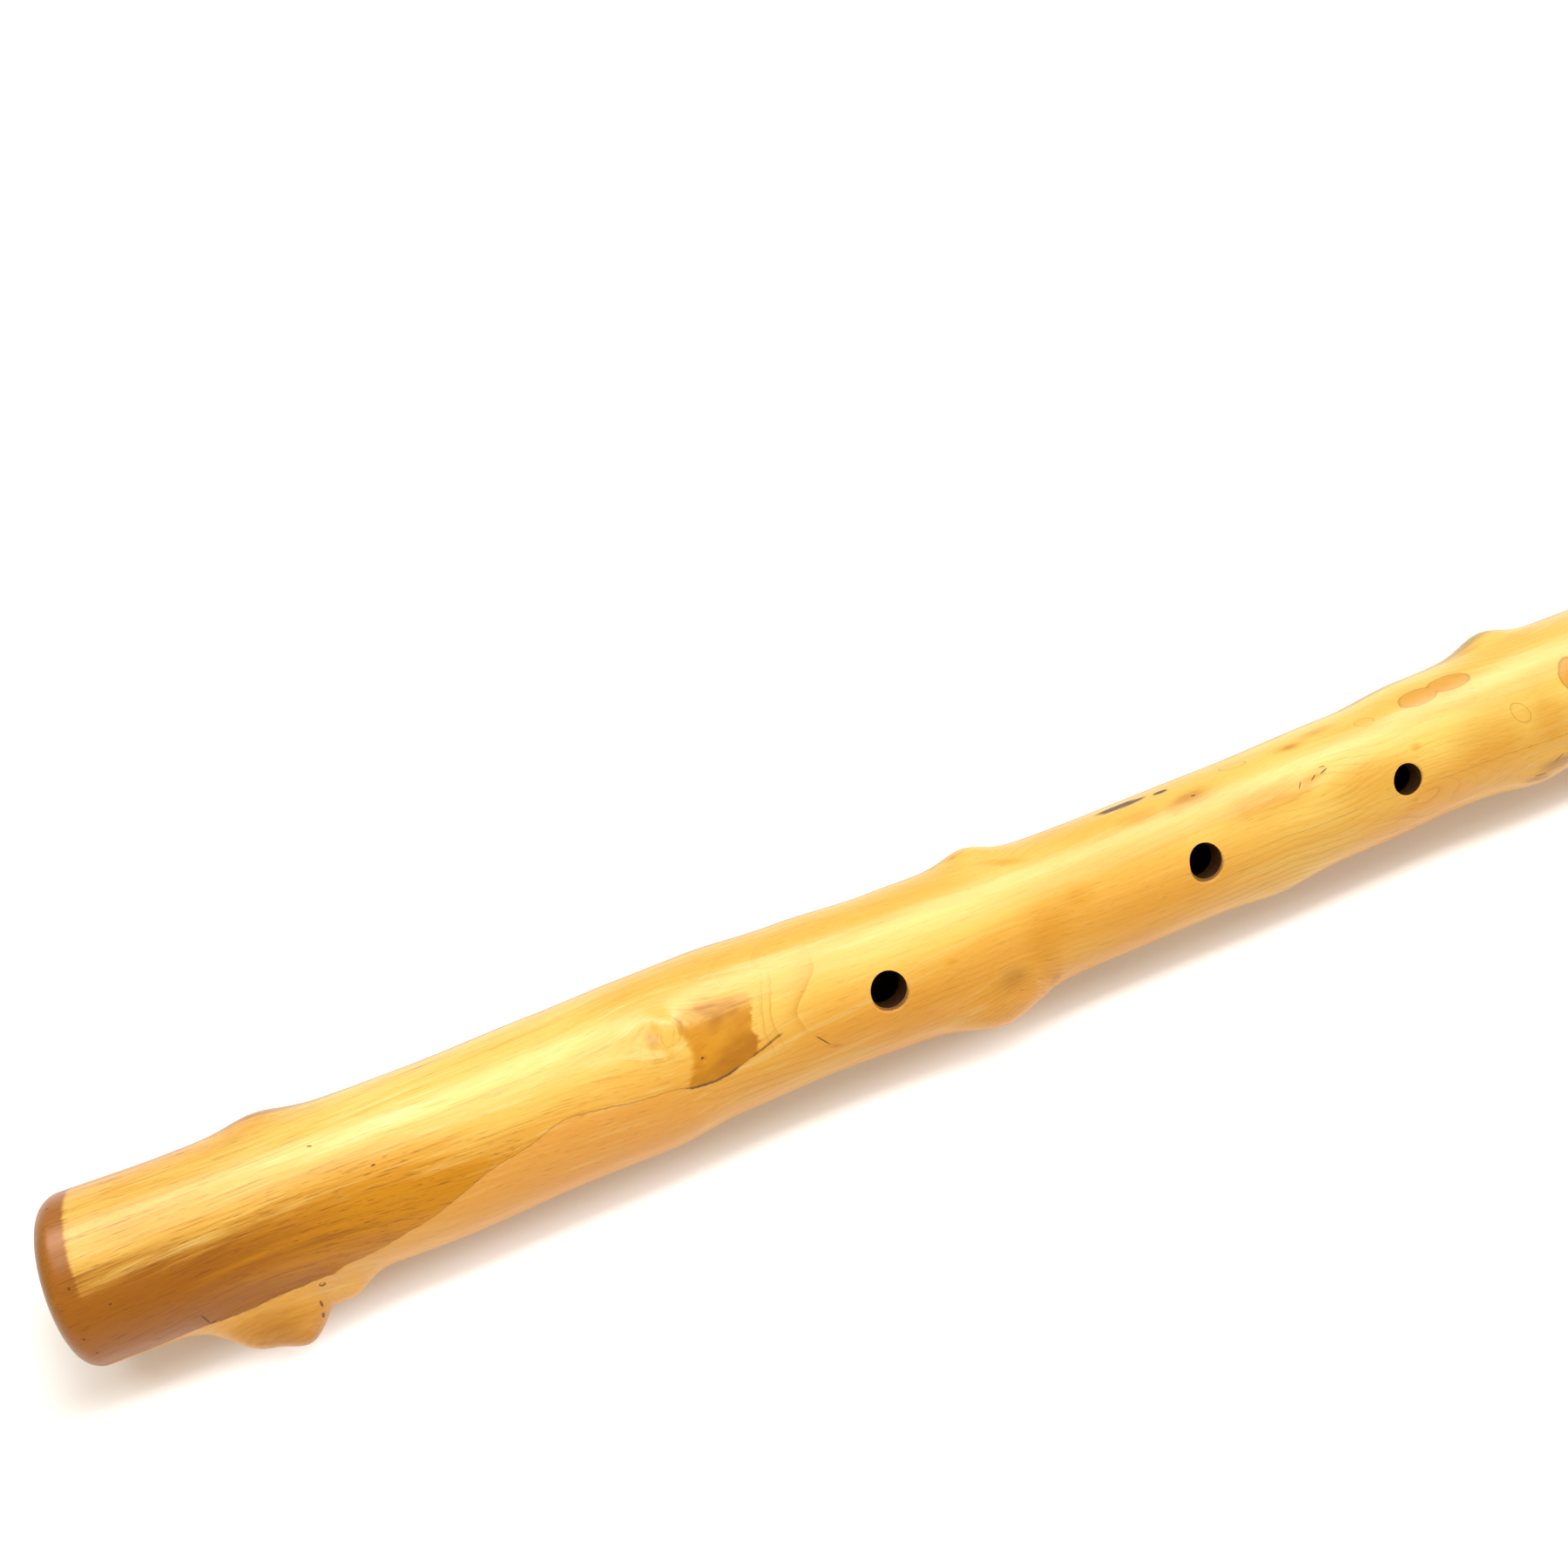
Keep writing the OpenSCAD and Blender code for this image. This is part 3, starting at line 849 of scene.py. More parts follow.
        # Heights in millimetres: fibres stand 0.03 proud, cracks lie 0.3 deep.
        height = add("Math", fibre, 0.05, add("Math", streak, 0.10, **TIMES), **LINE)
        for part, much in ((pore, -0.05), (ring, -0.03), (dark, -0.16), (line, -0.28)):
            height = add("Math", part, much, height, **LINE)
        tree.links.new(add("Bump", {"Height": height, "Distance": MM, "Strength": 1.0}),
                       shader.inputs["Normal"])
        return material

    @staticmethod
    def curve(tree: bpy.types.NodeTree, value: Socket,
              points: Sequence[tuple[float, float]]) -> Socket:
        """Reads a value off a smooth curve through the given points.

        Args:
            tree: the material's tree.
            value: the place on the curve, from 0 to 1.
            points: the curve's points.

        Returns:
            The curve's height.
        """
        out = put(tree, "FloatCurve", {"Value": value})
        line = out.node.mapping.curves[0]
        line.points[0].location = points[0]
        line.points[1].location = points[-1]
        for point in points[1:-1]:
            line.points.new(*point)
        out.node.mapping.update()
        return out


# The amber foot's upper edge, as distance (mm) and angle (degrees).
AMBER_EDGE = ((0, 104), (20, 106), (50, 110), (90, 114), (120, 124), (157, 146), (182, 172))
# Courses of the three arcs and of the slab stain's edges, as angle and distance.
ARC_COURSES = (
    ((70, 232), (88, 230.6), (111, 226.2), (125, 225), (139, 226.1)),
    ((70, 235.5), (100, 231.4), (117, 228.2), (131, 228.9), (142, 230)),
    ((60, 252), (79, 251), (99, 249.8), (109, 243.3), (120.6, 237.6), (134.5, 239), (145, 247)))
SLAB_LEFT = ((83, 198), (95, 197.2), (109, 198.4), (126, 200.5), (138, 195.5))
SLAB_RIGHT = ((83, 226), (102, 224), (122, 220.7), (139, 219.1))


def unroll(side: float) -> float:
    """Distance round the pipe's unrolled surface from the seam to an angle (mm)."""
    return UNROLL_R * math.radians(side)


@dataclass(frozen=True)
class Eye:
    """A place that the growth rings close round: half length and half width (mm)."""

    place: float
    side: float
    half_length: float
    half_width: float
    lines: float


@dataclass(frozen=True)
class Grain:
    """How the fibres and the growth rings run in a branch.

    The pith wanders beside the bore, so the rings come out at the surface as long flowing
    lines, and the fibres part round each knot.
    """

    branch: Branch
    pith: tuple[tuple[float, float, float], ...]
    eyes: tuple[Eye, ...] = ()
    marks: tuple[Mark, ...] = ()
    ring_gap: float = 1.0
    amber_foot: bool = False

    def around(self, x: Points, side: Points) -> Points:
        """Turns the fibres' places round the pipe so that they part round the knots.

        Args:
            x: distances from the branch's lower end (mm).
            side: angles round the bore (degrees).

        Returns:
            The turned angles (degrees).
        """
        shift = np.zeros_like(x)
        around = [(k.place, k.side, max(k.half_length, k.half_width / 2))
                  for k in self.branch.knots if abs(k.height) > 0]
        around += [(e.place, e.side, (e.half_length + e.half_width) / 2) for e in self.eyes]
        for place, at, size in around:
            ds, dt = x - place, UNROLL_R * np.radians(turn(side, at))
            near = ds * ds * 0.45 + dt * dt
            pull = 0.62 * size * size / (near + size * size)
            shift -= dt * pull * np.exp(-near / (5 * size) ** 2)
        return side + np.degrees(shift / UNROLL_R)

    def store(self, piece: bpy.types.Object) -> None:
        """Stores the attributes and the UV map that the wood's material reads.

        Args:
            piece: a finished pipe.
        """
        points = coordinates(piece)
        x, side, r = self.branch.unrolled(points)
        bent = np.radians(self.around(x, side))
        grain = MM * np.column_stack((x, r * np.cos(bent), r * np.sin(bent)))
        grain[:, 0] += MM * 6 * np.sin(2 * bent + x / 90)
        put_attribute(piece, "grain", "FLOAT_VECTOR", grain)

        px, off, at = (np.array(c) for c in zip(*self.pith))
        pith = np.interp(x, px, off)
        where = np.radians(np.interp(x, px, at))
        y, z = r * np.cos(np.radians(side)), r * np.sin(np.radians(side))
        rings = np.hypot(y - pith * np.cos(where), z - pith * np.sin(where)) / self.ring_gap
        wide = side % 360
        figure = 0.25 + 0.75 * step(125, 160, wide) * (1 - step(260, 300, wide))
        for eye in self.eyes:
            near = (((x - eye.place) / eye.half_length) ** 2
                    + (UNROLL_R * np.radians(turn(side, eye.side)) / eye.half_width) ** 2)
            rings += eye.lines * np.exp(-near)
            figure = np.maximum(figure, np.exp(-near / 4))
        put_attribute(piece, "rings", "FLOAT", rings)

        amber, arcs = np.zeros_like(x), np.zeros((len(x), 3))
        # The tone's columns: fibre strength, the slab stain, and painted shade on the lower side
        # turned from the lamp, partly the wood's own deeper tone.
        tone = np.column_stack((np.full_like(x, 0.5), np.zeros_like(x),
                                step(105, 150, wide) * (1 - step(235, 290, wide))))
        if self.amber_foot:
            figure = figure * (0.35 + 0.65 * step(167, 232, x))
            amber = self.amber(x, wide)
            arcs = self.arcs(x, wide)
            tone[:, 0] = 1 - 0.6 * step(150, 265, x)
            tone[:, 1] = self.slab(x, wide)
        skin = self.branch.surface(x, side)
        depth = np.hypot(skin[:, 1] / MM - self.branch.middle[0],
                         skin[:, 2] / MM - self.branch.middle[1]) - r
        put_attribute(piece, "zones", "FLOAT_VECTOR", np.column_stack((amber, figure, depth)))
        fields = []
        for kind in STORED:
            near = sum((np.exp(-7 * np.minimum(m.distance(x, side), 9)) for m in self.marks
                        if m.kind is kind), np.full_like(x, 1e-20))
            fields.append(np.minimum(-np.log(near) / 7, 9))
        put_attribute(piece, "patches", "FLOAT_VECTOR", np.column_stack(fields))
        put_attribute(piece, "arcs", "FLOAT_VECTOR", arcs)
        put_attribute(piece, "tone", "FLOAT_VECTOR", tone)
        self.unwrap(piece, x, side)

    @staticmethod
    def amber(x: Points, wide: Points) -> Points:
        """How much oil the foot took up.

        Args:
            x: distances from the foot (mm).
            wide: angles round the bore, from 0 to 360 degrees.

        Returns:
            0 for none and 1 for the full amber.
        """
        edge = np.interp(x, *zip(*AMBER_EDGE))
        side = step(-36, 34, wide - edge) * (1 - step(238, 268, wide)) * (1 - step(120, 182, x))
        rim = 0.95 * (1 - step(9.8, 12.0, x))
        back = (1 - step(30, 110, x)) * step(-60, 30, wide - 300) * 0.5
        haze = (1 - step(50, 165, x)) * 0.34
        return np.maximum.reduce((side, rim, back, haze))

    @staticmethod
    def arcs(x: Points, wide: Points) -> Points:
        """The arcs left of the first finger hole, the painted shade along the far side, and the
        darker band at the foot's end.

        Args:
            x: distances from the foot (mm).
            wide: angles round the bore, from 0 to 360 degrees.

        Returns:
            Rows of the count of arcs, their strength, and the painted far-side shade with the darker
            foot end.
        """
        first, second, third = (np.interp(wide, *zip(*course)) for course in ARC_COURSES)
        count = 0.02 + np.where(x < second, (x - first) / (second - first),
                                1 + (x - second) / (third - second))
        strength = (step(-4, -0.5, x - first) * (1 - step(0.3, 1.2, x - third))
                    * step(66, 98, wide) * (1 - step(137, 145, wide))
                    * (0.7 + 0.3 * np.cos(wide / 9)))
        # Painted shade along the far side, and a darker band at the foot's end.
        painted_shade_and_foot_end = np.maximum((1 - step(30, 47, wide)) + step(300, 360, wide), 1 - step(1.0, 6.5, x))
        return np.column_stack((count, strength, painted_shade_and_foot_end))

    @staticmethod
    def slab(x: Points, wide: Points) -> Points:
        """The large stain right of the raised knot, with its wavy left and right edges.

        Args:
            x: distances from the foot (mm).
            wide: angles round the bore, from 0 to 360 degrees.

        Returns:
            0 outside the stain and 1 inside.
        """
        wave = 0.8 * np.sin(wide / 4.3) + 0.4 * np.sin(wide / 1.9 + 1)
        left = wave + np.interp(wide, *zip(*SLAB_LEFT))
        right = np.interp(wide, *zip(*SLAB_RIGHT)) - 0.8 * wave
        return (step(-3, 3.5, x - left) * (1 - step(-1.6, 1.4, x - right))
                * step(78, 116, wide + 4 * wave) * (1 - step(146, 150, wide)))

    @staticmethod
    def unwrap(piece: bpy.types.Object, x: Points, side: Points) -> None:
        """Stores the unrolled surface as a UV map in metres.

        Args:
            piece: the pipe.
            x: distance of each vertex (mm).
            side: angle of each vertex (degrees).
        """
        mesh = piece.data
        corner = np.empty(len(mesh.loops), int)
        mesh.loops.foreach_get("vertex_index", corner)
        starts, totals = (np.empty(len(mesh.polygons), int) for _ in range(2))
        mesh.polygons.foreach_get("loop_start", starts)
        mesh.polygons.foreach_get("loop_total", totals)
        order = np.argsort(starts)
        # A face keeps together on its first corner's side of the seam.
        first = (side[corner[starts]] - SEAM_SIDE) % 360 + SEAM_SIDE
        first = first[np.repeat(order, totals[order])]
        wrapped = first + turn(side[corner], first)
        flat = np.column_stack((x[corner], UNROLL_R * np.radians(wrapped))) * MM
        layer = mesh.uv_layers.new(name="unrolled")
        layer.data.foreach_set("uv", flat.astype(np.float32).ravel())


@dataclass(frozen=True)
class TurnedWood(Finish):
    """Hardwood turned on a lathe, or planed, and waxed.

    The grain runs along the axis in dark and light bands 2 to 4 mm apart, with fine pores,
    and the tool left marks 0.4 mm apart that only the gloss shows.
    """

    light: str = "#B9773F"
    dark: str = "#7C4320"
    pore: str = "#4A2611"
    axis: str = "X"

    def build(self) -> bpy.types.Material:
        """Makes the turned wood's material.

        Returns:
            The material.
        """
        material, tree, shader = self.start()
        add = partial(put, tree)
        here = add("TexCoord", out=3)
        scale, lathe = {"X": ((14, 260, 260), (2500, 60, 60)),
                        "Y": ((260, 14, 260), (60, 2500, 60))}[self.axis]
        flow, pores, rings = (
            add("TexNoise", {"Vector": add("Mapping", {"Vector": here, "Scale": size}),
                             "Scale": 1.0, "Detail": detail, "Roughness": 0.55})
            for size, detail in ((scale, 3.0), (tuple(s * 6 for s in scale), 1.0), (lathe, 1.0)))
        # The pith lies 60 mm or more beside each piece, and its rings are 2.6 mm apart.
        away = add("Mapping", {"Vector": here, "Location": (0.04, 0.045, 0.04)})
        year = add("TexWave", {"Vector": away, "Scale": 120.0, "Distortion": 2.5, "Detail": 3.0,
                               "Detail Scale": 0.5}, out=1, wave_type="RINGS",
                   rings_direction=self.axis)
        bands = add("Math", year, 0.20, add("Math", flow, 0.80, **TIMES), **LINE)
        tone = add("MapRange", bands, 0.30, 0.74, **SOFTLY)
        dash = add("MapRange", pores, 0.60, 0.72, 0.0, 0.7, **SOFTLY)
        colour = add("Mix", {0: tone, 6: linear(self.light), 7: linear(self.dark)}, **COLOURS)
        colour = add("Mix", {0: dash, 6: colour, 7: linear(self.pore)}, **COLOURS)
        tree.links.new(colour, shader.inputs["Base Color"])
        tree.links.new(add("MapRange", bands, 0.3, 0.7, self.roughness - 0.06,
                           self.roughness + 0.08), shader.inputs["Roughness"])
        height = add("Math", rings, 0.03, add("Math", dash, -0.07, **TIMES), **LINE)
        tree.links.new(add("Bump", {"Height": height, "Distance": MM, "Strength": 1.0}),
                       shader.inputs["Normal"])
        return material


@dataclass(frozen=True)
class StrapLeather(Finish):
    """Vegetable-tanned cowhide, waxed, with burnished edges and a scored line along them.

    The hide's grain is about 1 mm across, and handling has darkened the edges and left the
    raised parts lighter.
    """

    face: str = "#7A4A2A"
    worn: str = "#A06A3E"
    dark: str = "#43271A"

    def build(self) -> bpy.types.Material:
        """Makes the leather's material.

        Returns:
            The material, which reads the attribute that Straps stores.
        """
        material, tree, shader = self.start()
        add = partial(put, tree)
        here = add("TexCoord", out=3)
        edge = add("Attribute", attribute_name="edge", out=2)
        hide = add("TexVoronoi", {"Vector": here, "Scale": 900.0, "Randomness": 1.0},
                   feature="DISTANCE_TO_EDGE")
        large, fine = (add("TexNoise", {"Vector": here, "Scale": scale, "Detail": detail})
                       for scale, detail in ((70.0, 4.0), (1400.0, 2.0)))
        crease = add("MapRange", hide, 0.0, 0.25, 1.0, 0.0)
        rim = add("MapRange", edge, 0.9, 0.1, **SOFTLY)
        # A line is scored 2.6 mm inside the edge.
        away = add("Math", add("Math", edge, 2.6, **LESS), operation="ABSOLUTE")
        score = add("MapRange", away, 0.45, 0.1, **SOFTLY)
        colour: Any = linear(self.face)
        for mask, over in (
                (add("MapRange", large, 0.35, 0.68, **SOFTLY), self.worn),
                (add("Math", crease, 0.5, **TIMES), self.dark),
                (add("Math", add("Math", rim, score, operation="MAXIMUM"), 0.75, **TIMES),
                 self.dark)):
            colour = add("Mix", {0: mask, 6: colour, 7: linear(over)}, **COLOURS)
        tree.links.new(colour, shader.inputs["Base Color"])
        tree.links.new(add("MapRange", large, 0.3, 0.7, self.roughness - 0.08,
                           self.roughness + 0.1), shader.inputs["Roughness"])
        height = add("Math", crease, -0.10, add("Math", fine, 0.05, **TIMES), **LINE)
        height = add("Math", score, -0.3, height, **LINE)
        tree.links.new(add("Bump", {"Height": height, "Distance": MM, "Strength": 1.0}),
                       shader.inputs["Normal"])
        return material


@dataclass(frozen=True)
class TackBrass(Finish):
    """Stamped brass tack heads, polished, with a brown tarnish and fine scratches."""

    bright: str = "#D8B45A"
    tarnish: str = "#8A6426"

    def build(self) -> bpy.types.Material:
        """Makes the brass's material.

        Returns:
            The material.
        """
        material, tree, shader = self.start()
        add = partial(put, tree)
        here = add("TexCoord", out=3)
        patch = add("TexNoise", {"Vector": here, "Scale": 320.0, "Detail": 4.0})
        scratch = add("TexNoise", {"Vector": add("Mapping", {
            "Vector": here, "Scale": (3000, 400, 400)}), "Scale": 1.0, "Detail": 2.0})
        tone = add("MapRange", patch, 0.45, 0.7, **SOFTLY)
        tree.links.new(add("Mix", {0: tone, 6: linear(self.bright), 7: linear(self.tarnish)},
                           **COLOURS), shader.inputs["Base Color"])
        tree.links.new(add("MapRange", patch, 0.3, 0.7, self.roughness - 0.08,
                           self.roughness + 0.2), shader.inputs["Roughness"])
        tree.links.new(add("Bump", {"Height": add("Math", scratch, 0.02, **TIMES),
                                    "Distance": MM, "Strength": 1.0}), shader.inputs["Normal"])
        return material


# ---------------------------------------------------------------- the flute's sub-assemblies

MAIN_BRANCH = Branch(
    length=PIPE_LENGTH, plain_r=UPPER_R,
    stations=((0, 27.2, -1.6), (37, 27.2, -0.6), (117, 28.6, 2.1), (157, 28.5, 1.2),
              (187, 29, 1), (212, 28, -0.2), (242, 26.9, 0.3), (277, 26.6, 1.8),
              (352, 25.1, 2.2), (407, 25.1, 1.7), (462, 25.2, 0.5), (497, 26, -1.5),
              (557, 27.6, -2), (647, 28, -1), (767, 28, 1), (907, 27.5, 0), (1007, UPPER_R, 0)),
    knots=tuple(Knot(*k) for k in (
        (67, 26, 2.6, 11, 22), (46.5, 206, 10.3, 9.6, 21), (61.5, 206, 14.6, 10, 20),
        (78.5, 200, 5.2, 7.2, 16), (194, 101, 1.6, 7, 13), (306, 190, 6.4, 16, 28),
        (309, 163, 1.6, 8, 14), (314, 35, 3.9, 10, 18), (419, 196, 1.5, 15, 25),
        (531, 186, 2.4, 12, 25), (535, 30, 4.4, 11, 20), (697, 75, 4, 14, 20),
        (827, 190, 6, 16, 24), (942, 110, 4, 12, 20), (PIPE_LENGTH - 470, 195, 5, 14, 22),
        (PIPE_LENGTH - 370, 85, 4, 12, 18), (PIPE_LENGTH - 250, 178, 5, 14, 20))),
    trims=tuple(Knot(*k) for k in (
        (190.4, 97, -1.3, 3.0, 6), (195.4, 99, 1.3, 2.4, 7), (193, 91, 0.7, 3.5, 6),
        (198.5, 112, -0.35, 2.0, 8), (194, 113, 0.35, 1.2, 7), (190.5, 112, -0.3, 1.2, 7),
        (72, 177.5, 0.8, 2.4, 6), (72, 177.5, -0.8, 0.8, 1.8), (77, 171, 1.0, 3.2, 6),
        (70.5, 200, -1.0, 1.8, 12), (202.8, 126, -0.7, 0.9, 1.9), (202.8, 126, 0.4, 2.4, 5),
        (315, 175, 1.0, 4, 8), (314.5, 176, -0.6, 1.5, 3.2), (321, 183, 0.7, 3, 6),
        (524, 168, -0.6, 5, 3), (535, 158, -0.7, 8, 3), (544, 150, 0.8, 6, 5),
        (520, 142, -0.4, 3, 2), (437, 101, -0.3, 5, 4), (372, 55, 0.4, 9, 6))),
    seats=((SADDLE_X, 20), (UPPER_STRAP_X, 18), (WIND_X, 22)))

DUCT_BRANCH = Branch(
    length=DUCT_LENGTH, plain_r=DUCT_R, start=DUCT_X, middle=(DUCT_Y, DUCT_Z),
    knots=(Knot(205, 20, 2.2, 10, 30), Knot(330, 330, 1.8, 9, 28), Knot(455, 25, 2.4, 10, 30)),
    trims=(Knot(205, 20, -0.5, 3, 10), Knot(455, 25, -0.5, 3, 10), Knot(90, 60, 0.4, 12, 30),
           Knot(275, 120, 0.4, 14, 40), Knot(390, 70, 0.5, 12, 30), Knot(520, 110, 0.4, 14, 40)),
    seats=((SADDLE_X - DUCT_X, 20), (UPPER_STRAP_X - DUCT_X, 18), (WIND_X - DUCT_X, 22)),
    low_rim=2.5, high_rim=2.5)

S, D, R, O, B, G = Stain.SOFT, Stain.DEEP, Stain.RINGED, Stain.OUTLINE, Stain.BARK, Stain.SOOT
H, P = Stain.HEART, Stain.PIT

# Painted shade among these marks: (D, 50, 222) the dark underside below the stub, (D, 189.6, 103) the
# hollow beside the raised knot, (D, 309, 42) beside the top knot and (D, 325, 177) beside the burl.
MAIN_MARKS = tuple(Mark(*m) for m in (
    (H, 72, 177.5, 0.65, 0.6), (P, 72, 177.5, 1.05, 0.95), (S, 61, 203, 11, 8), (S, 67, 197, 5, 6),
    (D, 63, 205, 8, 5), (D, 50, 222, 18, 7), (P, 68, 197, 0.5, 0.9), (P, 69, 191, 0.4, 1.2),
    (S, 53, 192, 15, 7.5), (D, 54, 193, 13, 6.5),
    (P, 37.9, 172, 0.35, 3.3, -8), (P, 39.5, 177, 0.9, 0.4), (P, 5.8, 53.4, 0.7, 0.35),
    (P, 8.4, 112.6, 0.4, 0.6), (P, 17.2, 131, 0.5, 0.3), (P, 6.6, 147.7, 0.4, 0.5),
    (P, 7.4, 163.5, 0.6, 0.3), (P, 82.9, 84.1, 0.9, 0.3, 25), (P, 98.9, 110.9, 0.8, 0.3),
    (S, 27, 58.6, 7, 1.6), (D, 189.6, 103, 2.4, 3.2), (P, 202.5, 125, 0.5, 0.45),
    (S, 204, 118, 5, 9), (D, 199.5, 99, 1.6, 2.6), (D, 325, 177, 3, 4), (S, 323, 166, 5, 9),
    (S, 322, 146, 8, 9), (S, 327, 128, 13, 9, -20), (S, 338, 119, 9, 6),
    (S, 322, 67, 10, 2.2, 22), (D, 309, 42, 5, 1.5), (P, 309.5, 31, 4, 0.4),
    (S, 290, 128, 3, 1.4), (D, 245, 155, 4.5, 1.1, 20), (P, 241.5, 147, 3.4, 0.25, 52),
    (S, 394.5, 77, 13, 6, -8), (S, 387, 82, 7, 4), (S, 373, 75, 11, 4), (D, 392, 76, 9, 4, -8),
    (P, 394.8, 74.6, 0.9, 0.5), (B, 387, 53.5, 3.2, 1.3), (B, 372, 49.5, 9.5, 3.0, 4),
    (O, 415.5, 57, 5, 2.2, 10), (O, 466.8, 69.6, 3.8, 2.3, 8), (S, 437.5, 63.5, 8, 3.6, 5),
    (D, 437.5, 63.5, 4, 2, 5),
    (S, 450, 58, 9, 2.4), (R, 490, 69, 7.5, 4.2, 0), (R, 504, 67, 8.5, 3.9, 2),
    (O, 520.3, 113.3, 2.9, 4.6, -28), (R, 547, 102, 6.5, 7.5), (D, 547, 102, 4.5, 6),
    (S, 521, 40, 9, 1.6, 8), (S, 477, 108, 2.2, 1.8), (S, 435, 101, 8, 2.4, -20),
    (P, 441, 98.6, 1.9, 0.3, -20), (P, 436.5, 100.4, 1.6, 0.25, -35),
    (P, 430.5, 102, 1.6, 0.2, -50),
    (P, 441.5, 94.5, 1.2, 0.2, 10), (S, 505, 126, 17, 12), (S, 531, 126, 10, 11),
    (D, 521.5, 142, 2.4, 0.7, -20),
    (G, 537, 169, 12, 4), (P, 541, 158, 4, 0.3, -6), (P, 527, 175, 2.6, 0.3), (G, 527, 180, 7, 2),
    (P, 534, 163, 2.5, 0.25, -30), (P, 548, 166, 5, 0.4, -6), (S, 414, 104, 22, 9),
    (S, 456, 120, 20, 9),
    (S, 707, 80, 14, 5), (R, 647, 120, 9, 4), (O, 742, 60, 5, 3), (S, 787, 140, 16, 6, 10),
    (R, 842, 95, 8, 5), (D, 697, 75, 5, 4), (S, 942, 108, 12, 7), (D, 942, 110, 4, 3),
    (O, 997, 140, 5, 3), (S, 1047, 60, 14, 4), (R, 1187, 120, 9, 4), (S, 1237, 195, 12, 8),
    (B, 1237, 196, 1.5, 1.5), (S, 1337, 84, 11, 6), (D, 1337, 84, 3.5, 3), (O, 1392, 150, 6, 3),
    (R, 1427, 60, 8, 4), (S, 1457, 178, 12, 6), (S, 1512, 95, 10, 3), (B, 697, 75, 1.2, 1),
    (S, 127, -20, 22, 9), (R, 227, 10, 9, 5), (S, 337, -30, 18, 8), (O, 437, -10, 7, 4),
    (S, 527, 0, 12, 6), (D, 530, 2, 4, 3), (S, 97, 265, 20, 8), (R, 387, 262, 9, 5),
    (S, 477, 240, 12, 6), (S, 627, 220, 16, 7), (O, 567, 270, 7, 4), (S, 827, 190, 12, 8),
    (B, 827, 191, 1.6, 1.4), (S, 907, 20, 14, 6), (R, 1007, 230, 8, 5)))

DUCT_MARKS = tuple(Mark(*m) for m in (
    (S, 205, 20, 12, 8), (D, 205, 20, 3, 4), (S, 330, 330, 10, 8), (S, 455, 25, 11, 8),
    (D, 455, 25, 3, 4), (R, 150, 110, 7, 5), (S, 275, 125, 14, 7), (O, 390, 80, 5, 4),
    (R, 520, 130, 7, 5), (S, 60, 200, 10, 6), (B, 205, 20, 1, 1.2), (S, 420, 220, 12, 6)))

LAYER_LINE = ((0, 194), (14, 190.5), (20, 189.5), (26.5, 186), (38.3, 179), (51.5, 175.5),
              (60, 173.4), (69, 173), (79, 169.5), (93, 164.0), (98.5, 160.6),
              (112, 154.1), (122.4, 145.8),
              (131.5, 139.9), (142.7, 135.6), (155.7, 128.6), (159, 129), (168.6, 131),
              (179.8, 135), (193.3, 138), (196.5, 140.4), (207, 142.6), (218, 137),
              (229, 130.5), (247, 127), (267, 127))
LINE_STRENGTH = ((0, 0.1), (21, 0.25), (39, 0.45), (65, 0.65), (71, 0.15), (77, 0.1), (83, 0.4),
                 (111, 0.35), (155, 0.45), (167, 0.5), (193, 0.42), (196, 0.95), (210, 1.0),
                 (216, 0.35), (219, 0.9), (229, 0.8), (230.5, 0.0), (267, 0.0))


